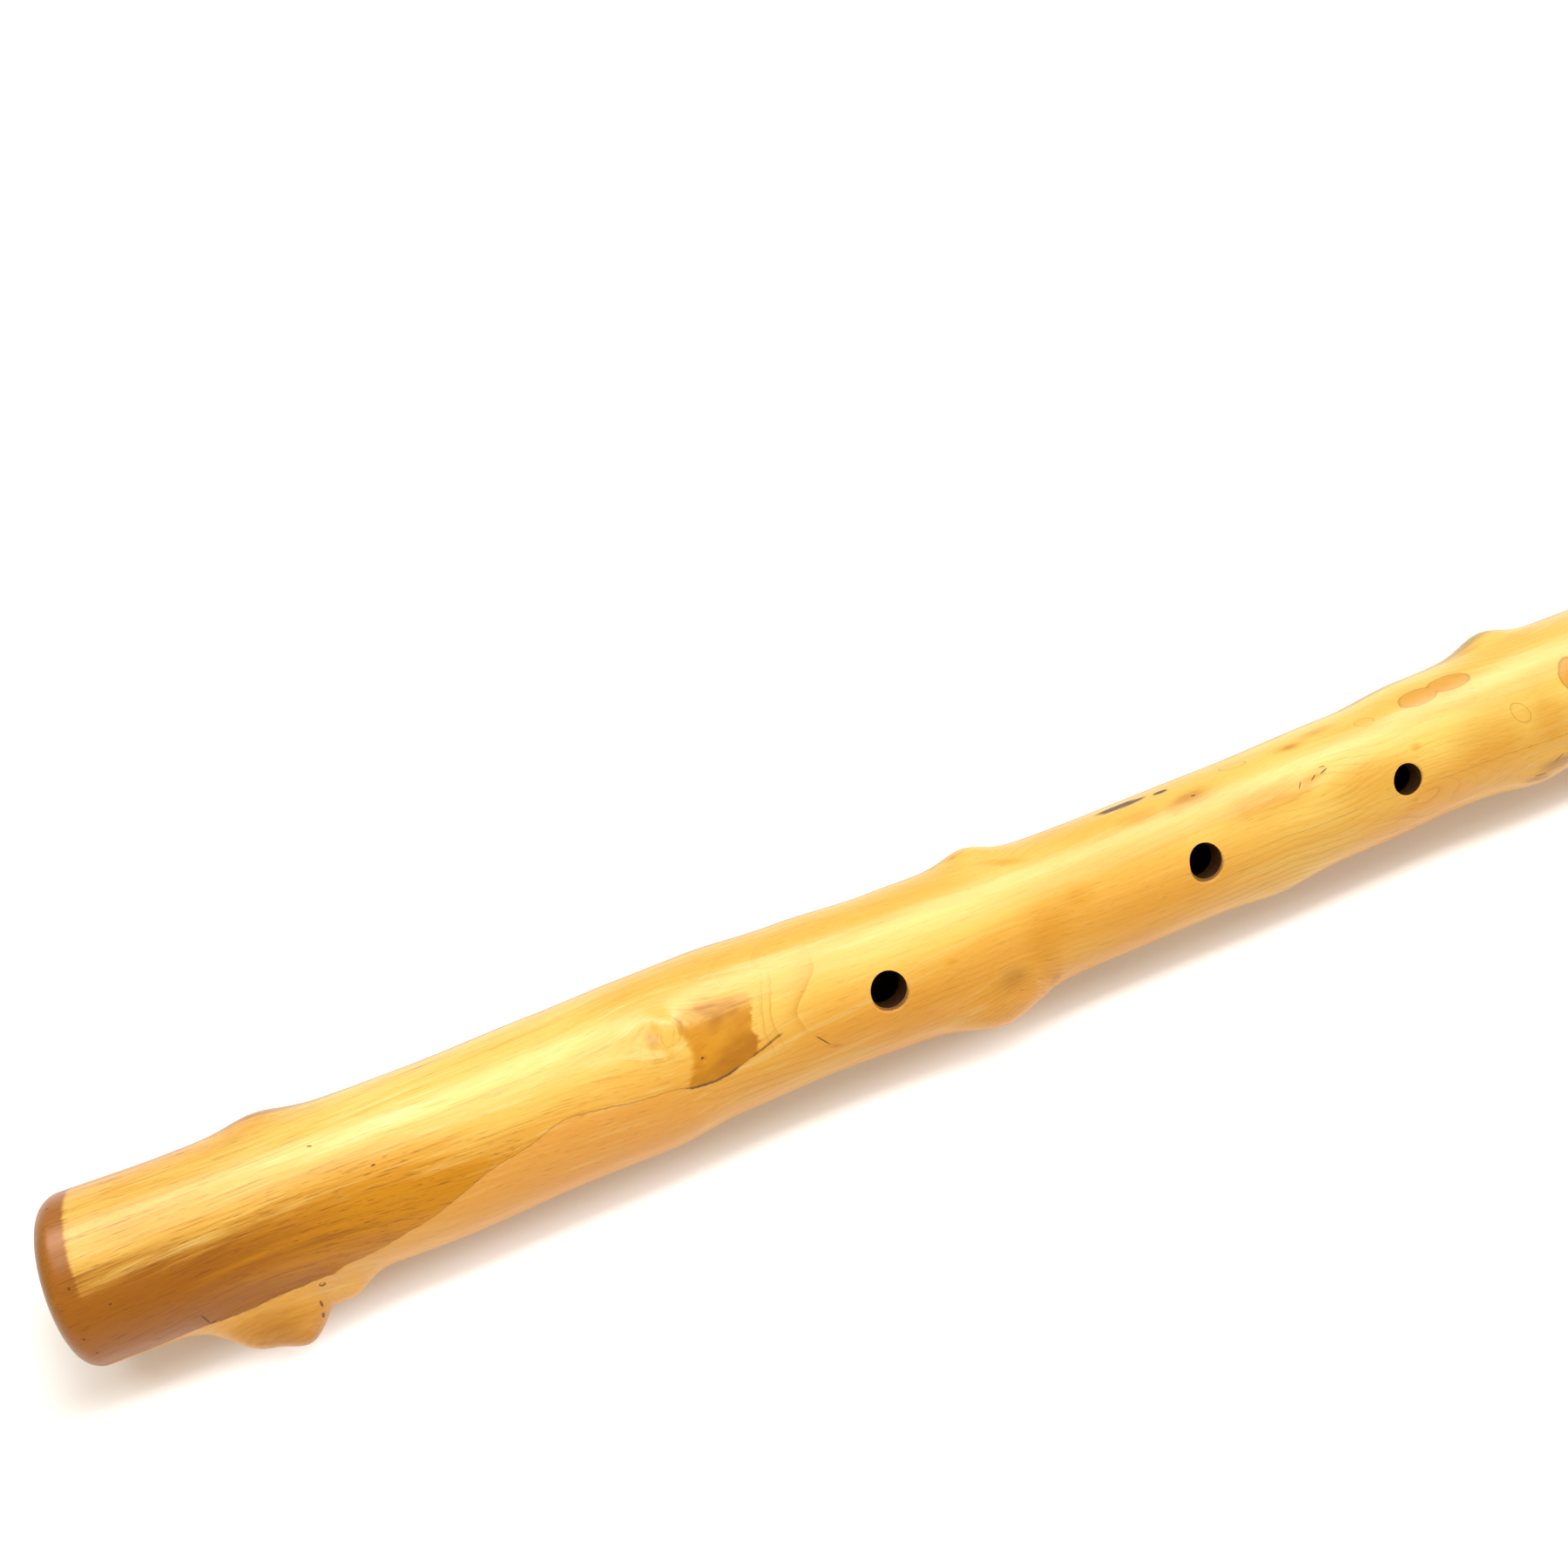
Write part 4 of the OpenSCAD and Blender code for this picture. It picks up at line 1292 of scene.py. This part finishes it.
@dataclass
class MainPipe:
    """The main pipe: a branch with a straight bore, three finger holes and the window."""

    hole_places: tuple[tuple[float, float], ...] = ((267, 12.5), (387, 12.5), (470, 11.5))
    hole_rim: float = 0.8
    edge_x: float = 1578.0
    edge_r: float = 18.4
    window_w: float = 16.0
    ramp_length: float = 38.0
    wind_d: float = 12.1
    sides: int = 120
    fine_end: float = 569.0

    def skin(self, x: Points, side: Points) -> Points:
        """Points of the skin, with the rims of the finger holes rounded over.

        Args:
            x: distances from the foot (mm).
            side: angles round the bore (degrees).

        Returns:
            Rows of x, y, z in metres.
        """
        points = MAIN_BRANCH.surface(x, side)
        for place, size in self.hole_places:
            dx = x - place
            dt = UNROLL_R * np.radians(turn(side, FRONT))
            past = np.hypot(dx, dt) - size / 2
            near = np.clip(self.hole_rim - past, 0, self.hole_rim)
            drop = self.hole_rim - np.sqrt(self.hole_rim ** 2 - near ** 2)
            points[:, 1:] *= (1 - drop * MM / np.hypot(points[:, 1], points[:, 2]))[:, None]
        return points

    def build(self) -> bpy.types.Object:
        """Rolls the branch, bores it and cuts the holes, the window and the wind hole.

        Returns:
            The finished pipe.
        """
        rim = MAIN_BRANCH.high_rim
        rings = (rim_rings(MAIN_BRANCH.low_rim, 9)
                 + spread(MAIN_BRANCH.low_rim, self.fine_end, 1.5)[:-1]
                 + spread(self.fine_end, PIPE_LENGTH - rim, 4.6)
                 + [PIPE_LENGTH - d for d in reversed(rim_rings(rim, 6))])
        finer = [Finer(place, FRONT, 8.5, 18.5) for place, _ in self.hole_places]
        finer += [Finer(72, 179, 4, 9), Finer(203, 126, 3, 6)]
        pipe = rolled("main_pipe_wood", rings, self.sides, self.skin, finer)
        along = Matrix.Rotation(math.pi / 2, 4, "Y")
        cut(pipe, rod(along, BORE_R, -PAST, BLOCK_X + 1, 128))
        cut(pipe, rod(along, REAM_R, BLOCK_X, PIPE_LENGTH + PAST, 128))
        for place, size in self.hole_places:
            cut(pipe, rod(facing(FRONT, place), size / 2, 0, BEYOND, 80))
        front = facing(FRONT)
        cut(pipe, prism(front, ((self.edge_x, 0), (BLOCK_X, 0), (BLOCK_X, BEYOND),
                                (self.edge_x, BEYOND)), self.window_w))
        # The ramp falls to the edge, and its cutter starts 1 mm above the wood.
        low, high = self.edge_x - self.ramp_length, self.edge_x + 1
        top = UPPER_R + 1
        foot = self.edge_r - (top - self.edge_r) / self.ramp_length
        cut(pipe, prism(front, ((low, top), (high, foot), (high, BEYOND), (low, BEYOND)),
                        self.window_w))
        cut(pipe, rod(facing(DUCT_SIDE, WIND_X), self.wind_d / 2, 0, BEYOND, 64))
        smooth(pipe)
        Grain(MAIN_BRANCH, pith=(
            (0, 6, 80), (90, 8, 95), (190, 9, 70), (300, 10, 78), (420, 9, 60), (520, 10, 82),
            (640, 8, 100), (800, 9, 70), (960, 7, 90), (1150, 9, 65), (1350, 8, 95), (1700, 9, 75)),
            eyes=(Eye(481, 141, 27, 10, 5), Eye(315, 176, 10, 8, 2.6), Eye(194, 100, 12, 8, 3),
                  Eye(314, 38, 20, 13, 4), Eye(535, 32, 20, 12, 4), Eye(57, 204, 22, 12, 4),
                  Eye(537, 165, 20, 9, 3), Eye(437, 102, 16, 6, 2), Eye(697, 75, 22, 11, 4),
                  Eye(827, 190, 24, 12, 5), Eye(942, 110, 20, 10, 4), Eye(1237, 195, 22, 11, 4),
                  Eye(1337, 85, 20, 10, 4), Eye(1457, 178, 20, 10, 4)),
            marks=MAIN_MARKS, amber_foot=True).store(pipe)
        return pipe

    def dress(self, wood: BranchWood) -> None:
        """Builds the pipe, gives it its wood and hangs it on the flute."""
        hand_over(self.build(), "flute", "pipe_wood", wood.build(), "main_pipe")


@dataclass
class AirDuct:
    """The air duct: a thinner branch with its own bore, beside the upper part."""

    tenon_hole_d: float = 12.66
    shoulder_seat_d: float = 24.0
    sides: int = 72

    def build(self) -> bpy.types.Object:
        """Rolls the thin branch, bores it and cuts the mouthpiece's seat.

        Returns:
            The finished duct.
        """
        rim = DUCT_BRANCH.low_rim
        rings = (rim_rings(rim, 6) + spread(rim, DUCT_LENGTH - rim, 2.4)
                 + [DUCT_LENGTH - d for d in reversed(rim_rings(rim, 6))])
        duct = rolled("air_duct_wood", rings, self.sides, DUCT_BRANCH.surface)
        move = Matrix.Translation((0, DUCT_Y * MM, DUCT_Z * MM))
        along = Matrix.Rotation(math.pi / 2, 4, "Y")
        cut(duct, rod(move @ along, DUCT_BORE_R, DUCT_X - PAST, PIPE_LENGTH + PAST, 72))
        cut(duct, rod(move @ facing(0, MOUTH_X), self.tenon_hole_d / 2, 0, 40, 64))
        cut(duct, rod(move @ facing(0, MOUTH_X), self.shoulder_seat_d / 2, MOUTH_SEAT, 40, 96))
        cut(duct, rod(facing(DUCT_SIDE, WIND_X), PASSAGE_R, UPPER_R, AXIS_GAP, 64))
        smooth(duct)
        Grain(DUCT_BRANCH,
              pith=((0, 4, 60), (150, 5, 90), (320, 4, 40), (480, 5, 110), (640, 4, 80)),
              eyes=(Eye(205, 20, 16, 8, 3), Eye(330, 330, 14, 8, 3), Eye(455, 25, 16, 8, 3)),
              marks=DUCT_MARKS, ring_gap=1.2).store(duct)
        return duct

    def dress(self, wood: BranchWood) -> None:
        """Builds the duct, gives it its wood and hangs it on the flute."""
        hand_over(self.build(), "flute", "duct_wood", wood.build(), "duct_pipe")


@dataclass
class TurnedParts:
    """The turned parts: the mouthpiece and the three plugs."""

    shoulder_r: float = 11.0
    tenon_r: float = 6.25
    breath_r: float = 4.25
    waist_r: float = 7.5
    lip_r: float = 9.5
    mouth_length: float = 58.0
    waist_at: float = 26.0
    lip_at: float = 50.0
    push: float = 0.05          # how much smaller a tenon is than its bore
    cap_round: float = 3.0

    def mouthpiece(self) -> bpy.types.Object:
        """Turns the mouthpiece: tenon, beaded shoulder, slim waist and rounded lip end.

        Returns:
            The finished mouthpiece.
        """
        r, end = self.breath_r, self.mouth_length
        lip = (self.lip_r - r) / 2
        outline = [(-6, r), (-6, self.tenon_r - 0.5), (-5.5, self.tenon_r), (0, self.tenon_r),
                   (0, self.shoulder_r - 0.4), (0.4, self.shoulder_r), (2.2, self.shoulder_r),
                   (2.5, self.shoulder_r - 0.5), (2.8, self.shoulder_r - 0.7),
                   (3.1, self.shoulder_r - 0.5)]
        outline += [(4.6 - 1.5 * math.cos(a), self.shoulder_r - 1.1 + 0.9 * math.sin(a))
                    for a in np.radians(range(20, 161, 20))]
        outline += [(6.3, 9.7), (6.6, 9.75)]
        # From the bead down to the waist, and up again to the lip end.
        for count, (start, wide), (stop, slim) in (
                (16, (6.6, 9.75), (self.waist_at, self.waist_r)),
                (14, (self.waist_at, self.waist_r), (self.lip_at, self.lip_r - 0.35))):
            outline += [(start + (stop - start) * t, wide + (slim - wide) * ease(t))
                        for t in (i / count for i in range(1, count + 1))]
        outline += [(50.4, self.lip_r - 0.75), (50.9, self.lip_r - 0.75), (51.3, self.lip_r - 0.3),
                    (52.4, self.lip_r), (end - lip, self.lip_r)]
        outline += [(end - lip + lip * math.sin(a), self.lip_r - lip + lip * math.cos(a))
                    for a in np.radians(range(12, 181, 12))]
        where = (Matrix.Translation((MOUTH_X * MM, (DUCT_Y + MOUTH_SEAT) * MM, DUCT_Z * MM))
                 @ Matrix.Rotation(-math.pi / 2, 4, "X"))
        piece = turned("mouthpiece_turned", where, outline, hollow=True)
        smooth(piece)
        return piece

    def cap(self, name: str, where: Matrix, tenon_r: float, depth: float, cap_r: float,
            height: float) -> bpy.types.Object:
        """Turns a plug: a tenon, a cap with a scored ring and a softly domed end.

        Args:
            name: the piece's name.
            where: frame whose +Z points out of the pipe, with its origin on the pipe's end.
            tenon_r: radius of the tenon (mm).
            depth: length of the tenon (mm).
            cap_r: radius of the cap (mm).
            height: thickness of the cap (mm).

        Returns:
            The finished plug.
        """
        r = self.cap_round
        outline = [(-depth, 1.0), (-depth, tenon_r - 0.6), (-depth + 0.6, tenon_r), (0, tenon_r),
                   (0, cap_r - 0.3), (0.3, cap_r), (1.6, cap_r), (1.9, cap_r - 0.45),
                   (2.2, cap_r - 0.45), (2.5, cap_r), (height - r, cap_r)]
        outline += [(height - r + (r - 0.5) * math.sin(a), cap_r - r + r * math.cos(a))
                    for a in np.radians(range(15, 91, 15))]
        outline += [(height - 0.35, cap_r - r - 0.8), (height - 0.8, cap_r - r - 1.5),
                    (height - 0.8, cap_r - r - 2.0), (height - 0.3, cap_r - r - 2.6)]
        flat = cap_r - r - 2.6
        outline += [(height - 0.3 + 0.3 * math.sin(math.pi / 2 * (1 - k)), flat * k)
                    for k in (0.8, 0.6, 0.4, 0.2, 0.06)]
        piece = turned(name, where, outline)
        smooth(piece)
        return piece

    def head_plug(self) -> bpy.types.Object:
        """Turns the plug that closes the head.

        Returns:
            The finished plug.
        """
        where = (Matrix.Translation((PIPE_LENGTH * MM, 0, 0))
                 @ Matrix.Rotation(math.pi / 2, 4, "Y"))
        return self.cap("head_plug_turned", where, tenon_r=REAM_R - self.push, depth=18,
                        cap_r=25.5, height=8)

    def duct_top_plug(self) -> bpy.types.Object:
        """Turns the plug in the duct's top.

        Returns:
            The finished plug.
        """
        where = (Matrix.Translation((PIPE_LENGTH * MM, DUCT_Y * MM, DUCT_Z * MM))
                 @ Matrix.Rotation(math.pi / 2, 4, "Y"))
        return self.cap("duct_top_plug_turned", where, tenon_r=DUCT_BORE_R - self.push,
                        depth=14, cap_r=13.75, height=6)

    @staticmethod
    def drain_plug() -> bpy.types.Object:
        """Turns the drain plug: a tenon and a knob with a neck that fingers can grip.

        Returns:
            The finished plug.
        """
        outline = [(-22, 1.0), (-22, 6.3), (-21.3, 6.92), (0, 6.92), (0, 13.4), (0.4, 13.75),
                   (2.2, 13.75), (2.6, 13.2), (3.0, 12.4)]
        outline += [(3.0 + 4.6 * t, 12.4 - 3.2 * math.sin(math.pi * t) ** 1.2)
                    for t in np.linspace(0.1, 0.9, 9)]
        outline += [(10.6 - 3.0 * math.cos(a), 10.75 + 3.0 * math.sin(a))
                    for a in np.radians(range(20, 91, 14))]
        outline += [(10.6 + 3.2 * math.sin(a), 10.4 + 3.35 * math.cos(a))
                    for a in np.radians(range(12, 91, 13))]
        outline += [(14.0 - 0.2 * k, 10.0 * k) for k in (0.75, 0.5, 0.25, 0.08)]
        where = (Matrix.Translation((DUCT_X * MM, DUCT_Y * MM, DUCT_Z * MM))
                 @ Matrix.Rotation(-math.pi / 2, 4, "Y"))
        piece = turned("drain_plug_turned", where, outline)
        smooth(piece)
        return piece

    def dress(self, plugs: bpy.types.Material, mouth: bpy.types.Material) -> None:
        """Turns the four pieces, waxes them and hangs each on its body.

        Args:
            plugs: the wood with its grain along the pipes.
            mouth: the wood with its grain along the mouthpiece.
        """
        hand_over(self.mouthpiece(), "mouthpiece", "turned_wood", mouth, "mouthpiece")
        hand_over(self.head_plug(), "flute", "turned_wood", plugs, "head_plug")
        hand_over(self.duct_top_plug(), "flute", "turned_wood", plugs, "duct_top_plug")
        hand_over(self.drain_plug(), "drain_plug", "turned_wood", plugs, "drain_plug")


@dataclass
class Straps:
    """The two leather straps, each one strip that is wound round both pipes and lapped."""

    upper_width: float = 26.0
    lower_width: float = 22.0
    lap_end: float = 122.0
    corner: float = 6.0
    inner_main: float = UPPER_R + SEAT_GAP
    inner_duct: float = DUCT_R + SEAT_GAP
    rows: int = 18

    def course(self) -> tuple[Points, Points]:
        """Works out how the strap runs across the pipes.

        Returns:
            Rows of y, z along its inner face (mm), and its outward direction at each.
        """
        lean = math.degrees(math.acos((self.inner_main - self.inner_duct) / AXIS_GAP))
        near = DUCT_SIDE + lean
        under = DUCT_SIDE + 360 - lean
        line: list[tuple[float, float]] = []
        out: list[tuple[float, float]] = []

        def arc(middle: tuple[float, float], low: float, high: float,
                r: Callable[[float], float], count: int) -> None:
            """Adds the points of an arc.

            Args:
                middle: the arc's middle.
                low: angle of its start (degrees).
                high: angle of its end.
                r: its radius at an angle (mm).
                count: number of its steps.
            """
            for i in range(count + 1):
                a = low + (high - low) * i / count
                c, s = math.cos(math.radians(a)), math.sin(math.radians(a))
                line.append((middle[0] + r(a) * c, middle[1] + r(a) * s))
                out.append((c, s))

        def run(last: tuple[float, float], to: tuple[float, float], a: float, count: int) -> None:
            """Adds the points of a straight run, with its ends left out.

            Args:
                last: the point before the run.
                to: the point after it.
                a: angle of its outward direction (degrees).
                count: number of its steps.
            """
            c, s = math.cos(math.radians(a)), math.sin(math.radians(a))
            for i in range(1, count):
                t = i / count
                line.append((last[0] + (to[0] - last[0]) * t, last[1] + (to[1] - last[1]) * t))
                out.append((c, s))

        duct = (DUCT_Y, DUCT_Z)
        arc((0, 0), near + 5, under, lambda a: self.inner_main, 84)
        c, s = math.cos(math.radians(under)), math.sin(math.radians(under))
        run(line[-1], (duct[0] + self.inner_duct * c, duct[1] + self.inner_duct * s), under, 14)
        arc(duct, under - 360, near, lambda a: self.inner_duct, 40)
        high = self.inner_main + LEATHER
        c, s = math.cos(math.radians(near)), math.sin(math.radians(near))
        run(line[-1], (high * c, high * s), near, 14)
        arc((0, 0), near, self.lap_end, lambda a: high, 30)
        return np.array(line), np.array(out)

    def build(self, name: str, middle: float, width: float) -> bpy.types.Object:
        """Winds one strap.

        Args:
            name: the piece's name.
            middle: distance of its middle from the foot (mm).
            width: its width (mm).

        Returns:
            The finished strap.
        """
        line, out = self.course()
        lengths = np.concatenate(([0], np.cumsum(np.hypot(*np.diff(line, axis=0).T))))
        deselect()
        bpy.ops.mesh.primitive_grid_add(x_subdivisions=len(line) - 1, y_subdivisions=self.rows,
                                        size=1)
        strap = bpy.context.object
        strap.name = strap.data.name = name
        flat = coordinates(strap)
        i = np.rint((flat[:, 0] + 0.5) * (len(line) - 1)).astype(int)
        v = flat[:, 1] * 2
        left = lengths[-1] - lengths[i]
        begun = lengths[i]
        tight = np.clip(1 - left / self.corner, 0, 1)
        half = width / 2 - self.corner * (1 - np.sqrt(1 - tight * tight * 0.98))
        across = v * half
        # The edges lift a little where the leather has taken its set.
        lift = 0.10 * np.abs(v) ** 6 + 0.05 * np.sin(begun / 9) * v
        yz = line[i] + out[i] * lift[:, None]
        move_to(strap, MM * np.column_stack((middle + across, yz)))
        edge = np.minimum(width / 2 - np.abs(across), np.minimum(left, begun + 3))
        edge = np.minimum(edge, half * (1 - np.abs(v)))
        put_attribute(strap, "edge", "FLOAT", edge)
        pick(strap)
        solid = strap.modifiers.new("thickness", "SOLIDIFY")
        solid.thickness = (LEATHER - 0.12) * MM
        solid.offset = 1.0
        solid.use_even_offset = True
        bpy.ops.object.modifier_apply(modifier=solid.name)
        self.face_out(strap)
        round_ = strap.modifiers.new("edges", "BEVEL")
        round_.width = 0.55 * MM
        round_.segments = 3
        round_.limit_method = "ANGLE"
        round_.angle_limit = math.radians(50)
        bpy.ops.object.modifier_apply(modifier=round_.name)
        smooth(strap, 50)
        return strap

    @staticmethod
    def face_out(strap: bpy.types.Object) -> None:
        """Turns the strap's faces outwards.

        Args:
            strap: the strap.
        """
        pick(strap)
        bpy.ops.object.mode_set(mode="EDIT")
        bpy.ops.mesh.select_all(action="SELECT")
        bpy.ops.mesh.normals_make_consistent(inside=False)
        bpy.ops.object.mode_set(mode="OBJECT")

    def dress(self, leather: bpy.types.Material) -> None:
        """Winds both straps, gives them their leather and hangs them on the flute.

        Args:
            leather: their material.
        """
        hand_over(self.build("upper_strap_leather", UPPER_STRAP_X, self.upper_width), "flute",
                  "strap_leather", leather, "upper_strap")
        hand_over(self.build("lower_strap_leather", SADDLE_X, self.lower_width), "flute",
                  "strap_leather", leather, "lower_strap")


@dataclass
class Blocks:
    """The bridge block and the lower saddle, hollowed to sit against both pipes."""

    width: float = 24.0
    bridge_length: float = 34.0
    saddle_length: float = 30.0
    round_: float = 1.6

    def build(self, name: str, middle: float, length: float, wind: bool) -> bpy.types.Object:
        """Planes one block, rounds its edges and hollows its seats.

        Args:
            name: the piece's name.
            middle: distance of its middle from the foot (mm).
            length: its length along the pipes (mm).
            wind: whether the wind passage goes through it.

        Returns:
            The finished block.
        """
        low, high = UPPER_R - self.width / 4, AXIS_GAP - self.width / 4
        deselect()
        bpy.ops.mesh.primitive_cube_add(size=1)
        block = bpy.context.object
        block.name = block.data.name = name
        block.data.transform(Matrix.Diagonal((length * MM, self.width * MM, (high - low) * MM, 1)))
        bpy.ops.object.mode_set(mode="EDIT")
        bpy.ops.mesh.select_all(action="SELECT")
        bpy.ops.mesh.bevel(offset=self.round_ * MM, segments=4, affect="EDGES")
        bpy.ops.object.mode_set(mode="OBJECT")
        block.data.transform(facing(DUCT_SIDE, middle)
                             @ Matrix.Translation((0, 0, (low + high) / 2 * MM)))
        along = Matrix.Rotation(math.pi / 2, 4, "Y")
        duct = Matrix.Translation((0, DUCT_Y * MM, DUCT_Z * MM))
        cut(block, rod(along, UPPER_R + SEAT_GAP, 0, PIPE_LENGTH, 160))
        cut(block, rod(duct @ along, DUCT_R + SEAT_GAP, 0, PIPE_LENGTH, 128))
        if wind:
            cut(block, rod(facing(DUCT_SIDE, middle), PASSAGE_R, 0, BEYOND, 64))
        smooth(block, 40)
        return block

    def dress(self, wood: bpy.types.Material) -> None:
        """Makes both blocks, gives them their wood and hangs them on the flute.

        Args:
            wood: their material.
        """
        hand_over(self.build("bridge_block_wood", WIND_X, self.bridge_length, True), "flute",
                  "block_wood", wood, "bridge_block")
        hand_over(self.build("lower_saddle_wood", SADDLE_X, self.saddle_length, False), "flute",
                  "block_wood", wood, "lower_saddle")


# ---------------------------------------------------------------- the scene

@dataclass
class Studio:
    """The camera at the photograph's place, the pale floor and the soft lamps."""

    camera_at: tuple[float, float, float] = (150.2, -201.6, 484.5)
    pitch: float = 57.6
    heading: float = 23.4
    lens: float = 36.0
    floor_z: float = -30.9
    lamp_length: float = 3.2

    def camera(self) -> None:
        """Places the camera where the photographer stood."""
        bpy.ops.object.camera_add(
            location=[v * MM for v in self.camera_at],
            rotation=(math.radians(90 - self.pitch), 0, -math.radians(self.heading)))
        camera = bpy.context.object
        camera.name = "photo_camera"
        camera.data.lens = self.lens
        camera.data.sensor_width = 36.0
        camera.data.sensor_fit = "HORIZONTAL"
        camera.data.clip_start = 0.01
        bpy.context.scene.camera = camera

    def floor(self) -> None:
        """Lays a white floor that keeps the flute's soft shadow, with a painted shadow: a band of
        faint, warm glow round the flute.
        """
        deselect()
        bpy.ops.mesh.primitive_plane_add(size=16, location=(0.8, 0, 0))
        floor = bpy.context.object
        floor.name = floor.data.name = "floor"
        floor.data.transform(Matrix.Translation((0.8, 0, self.floor_z * MM)))
        floor.location = (0, 0, 0)
        material = bpy.data.materials.new("white_floor_paper_painted_shadow")
        material.use_nodes = True
        tree = material.node_tree
        shader = tree.nodes["Principled BSDF"]
        shader.inputs["Base Color"].default_value = (0.80, 0.74, 0.68, 1)
        shader.inputs["Roughness"].default_value = 0.9
        shader.inputs["Specular IOR Level"].default_value = 0.1
        add = partial(put, tree)
        rays = add("LightPath").node.outputs
        seen = add("Math", rays["Is Camera Ray"], rays["Is Glossy Ray"], operation="MAXIMUM")
        seen = add("Math", seen, rays["Is Transmission Ray"], operation="MAXIMUM")
        # Painted shadow: close in front of and behind the flute the paper's glow is faint and warm,
        # so a darker band lies round the real shadow; further off it is white.
        # Outside the photograph's view, towards the head, that place is wider.
        here = add("SeparateXYZ", add("TexCoord", out=3)).node.outputs
        aside = add("Math", here[1], add("MapRange", here[0], 0.66, 1.0, 1.0, 0.35), **TIMES)
        near: Any = 1.0
        for place, white, shown in ((aside, -0.044, -0.020), (aside, 0.045, 0.0),
                                    (here[0], -0.05, 0.0), (here[0], 1.76, 1.70)):
            near = add("Math", near, add("MapRange", place, white, shown, **SOFTLY), **TIMES)
        # Painted shadow: the glow falls to a faint warm colour near the flute and rises to white
        # further off.
        painted_shadow_glow = add("Mix", {0: near, 6: (0.8, 0.8, 0.8, 1), 7: (0.13, 0.12, 0.09, 1)}, **COLOURS)
        tree.links.new(painted_shadow_glow, shader.inputs["Emission Color"])
        tree.links.new(seen, shader.inputs["Emission Strength"])
        floor.data.materials.append(material)

    def world(self) -> None:
        """Fills the room with even, faintly warm light and shows it white."""
        world = bpy.data.worlds.new("white_room")
        bpy.context.scene.world = world
        world.use_nodes = True
        tree = world.node_tree
        add = partial(put, tree)
        rays = add("LightPath").node.outputs
        seen = add("Math", rays["Is Camera Ray"], rays["Is Transmission Ray"],
                   operation="MAXIMUM")
        back = tree.nodes["Background"]
        tree.links.new(add("Mix", {0: seen, 6: (1.0, 0.97, 0.93, 1), 7: (1, 1, 1, 1)},
                           **COLOURS), back.inputs["Color"])
        tree.links.new(add("MapRange", seen, 0.0, 1.0, 0.62, 1.0), back.inputs["Strength"])

    def lamps(self) -> None:
        """Hangs one long soft lamp above the flute, and a strip behind it for the sheen."""
        for name, place, aim, width, watts, soft in (
                ("long_soft_lamp", (0.7, 0.24, 1.9), (0, -0.24, -1.9), 0.36, 30.0, True),
                ("sheen_strip", (0.7, 0.95, 1.30), (0, -0.95, -1.30), 0.70, 75.0, False)):
            bpy.ops.object.light_add(type="AREA", location=place)
            lamp = bpy.context.object
            lamp.name = name
            lamp.data.shape = "RECTANGLE"
            lamp.data.size = self.lamp_length
            lamp.data.size_y = width
            lamp.data.energy = watts
            lamp.rotation_euler = Vector(aim).normalized().to_track_quat("-Z", "Y").to_euler()
            lamp.visible_camera = False
            lamp.visible_diffuse = soft

    def build(self) -> None:
        """Sets up the view, the floor and the light."""
        self.floor()
        self.world()
        self.lamps()
        bpy.context.scene.view_settings.view_transform = "Standard"


def dress_nodes(nodes: dict[str, bpy.types.Object], finish: dict[str, bpy.types.Material]) -> None:
    """Gives the CAD nodes that stay their finishes.

    Args:
        nodes: the frame's CAD nodes.
        finish: the material for each node's name.
    """
    for name, material in finish.items():
        for place in nodes[name].material_slots:
            place.material = material
        if not nodes[name].material_slots:
            nodes[name].data.materials.append(material)
        LOG.info("%s keeps its CAD shape", name)


def main() -> None:
    """Builds the fujara, dresses it and sets the scene."""
    logging.basicConfig(level=logging.INFO, format="%(message)s")
    studio = Studio()
    studio.camera()
    # Plum wood is turned and waxed: reddish brown with dark bands and a soft shine. Beech is
    # planed and oiled: paler, duller and with the same bands.
    plum_x = TurnedWood("waxed_turned_plum_wood", roughness=0.36, coat=0.15).build()
    plum_y = TurnedWood("waxed_turned_plum_wood_mouthpiece", roughness=0.34, coat=0.2,
                        axis="Y").build()
    beech = TurnedWood("planed_oiled_beech_wood", roughness=0.5, light="#C98E52",
                       dark="#A56A34", pore="#6E401C").build()
    # Waxed cowhide is matt brown with darker edges, and tarnished brass is a dull yellow metal.
    leather = StrapLeather("waxed_cowhide_leather", roughness=0.48).build()
    brass = TackBrass("tarnished_tack_brass", roughness=0.28, metallic=1.0).build()

    # A thin satin varnish lets the honey colour through with one broad soft sheen.
    varnish = {"coat": 0.22, "coat_roughness": 0.28, "ior": 1.45, "specular": 0.2}
    MainPipe().dress(BranchWood("varnished_branch_wood", roughness=0.38, marks=MAIN_MARKS,
                                line=LAYER_LINE, line_strength=LINE_STRENGTH, **varnish))
    AirDuct().dress(BranchWood("varnished_thin_branch_wood", roughness=0.40, marks=DUCT_MARKS,
                               **varnish))
    TurnedParts().dress(plum_x, plum_y)
    Straps().dress(leather)
    Blocks().dress(beech)
    dress_nodes(frame["nodes"], {"fipple_block": beech, "wind_tube": beech,
                                 "upper_tacks": brass, "lower_tacks": brass})
    studio.build()
    deselect()


if __name__ == "__main__":
    main()
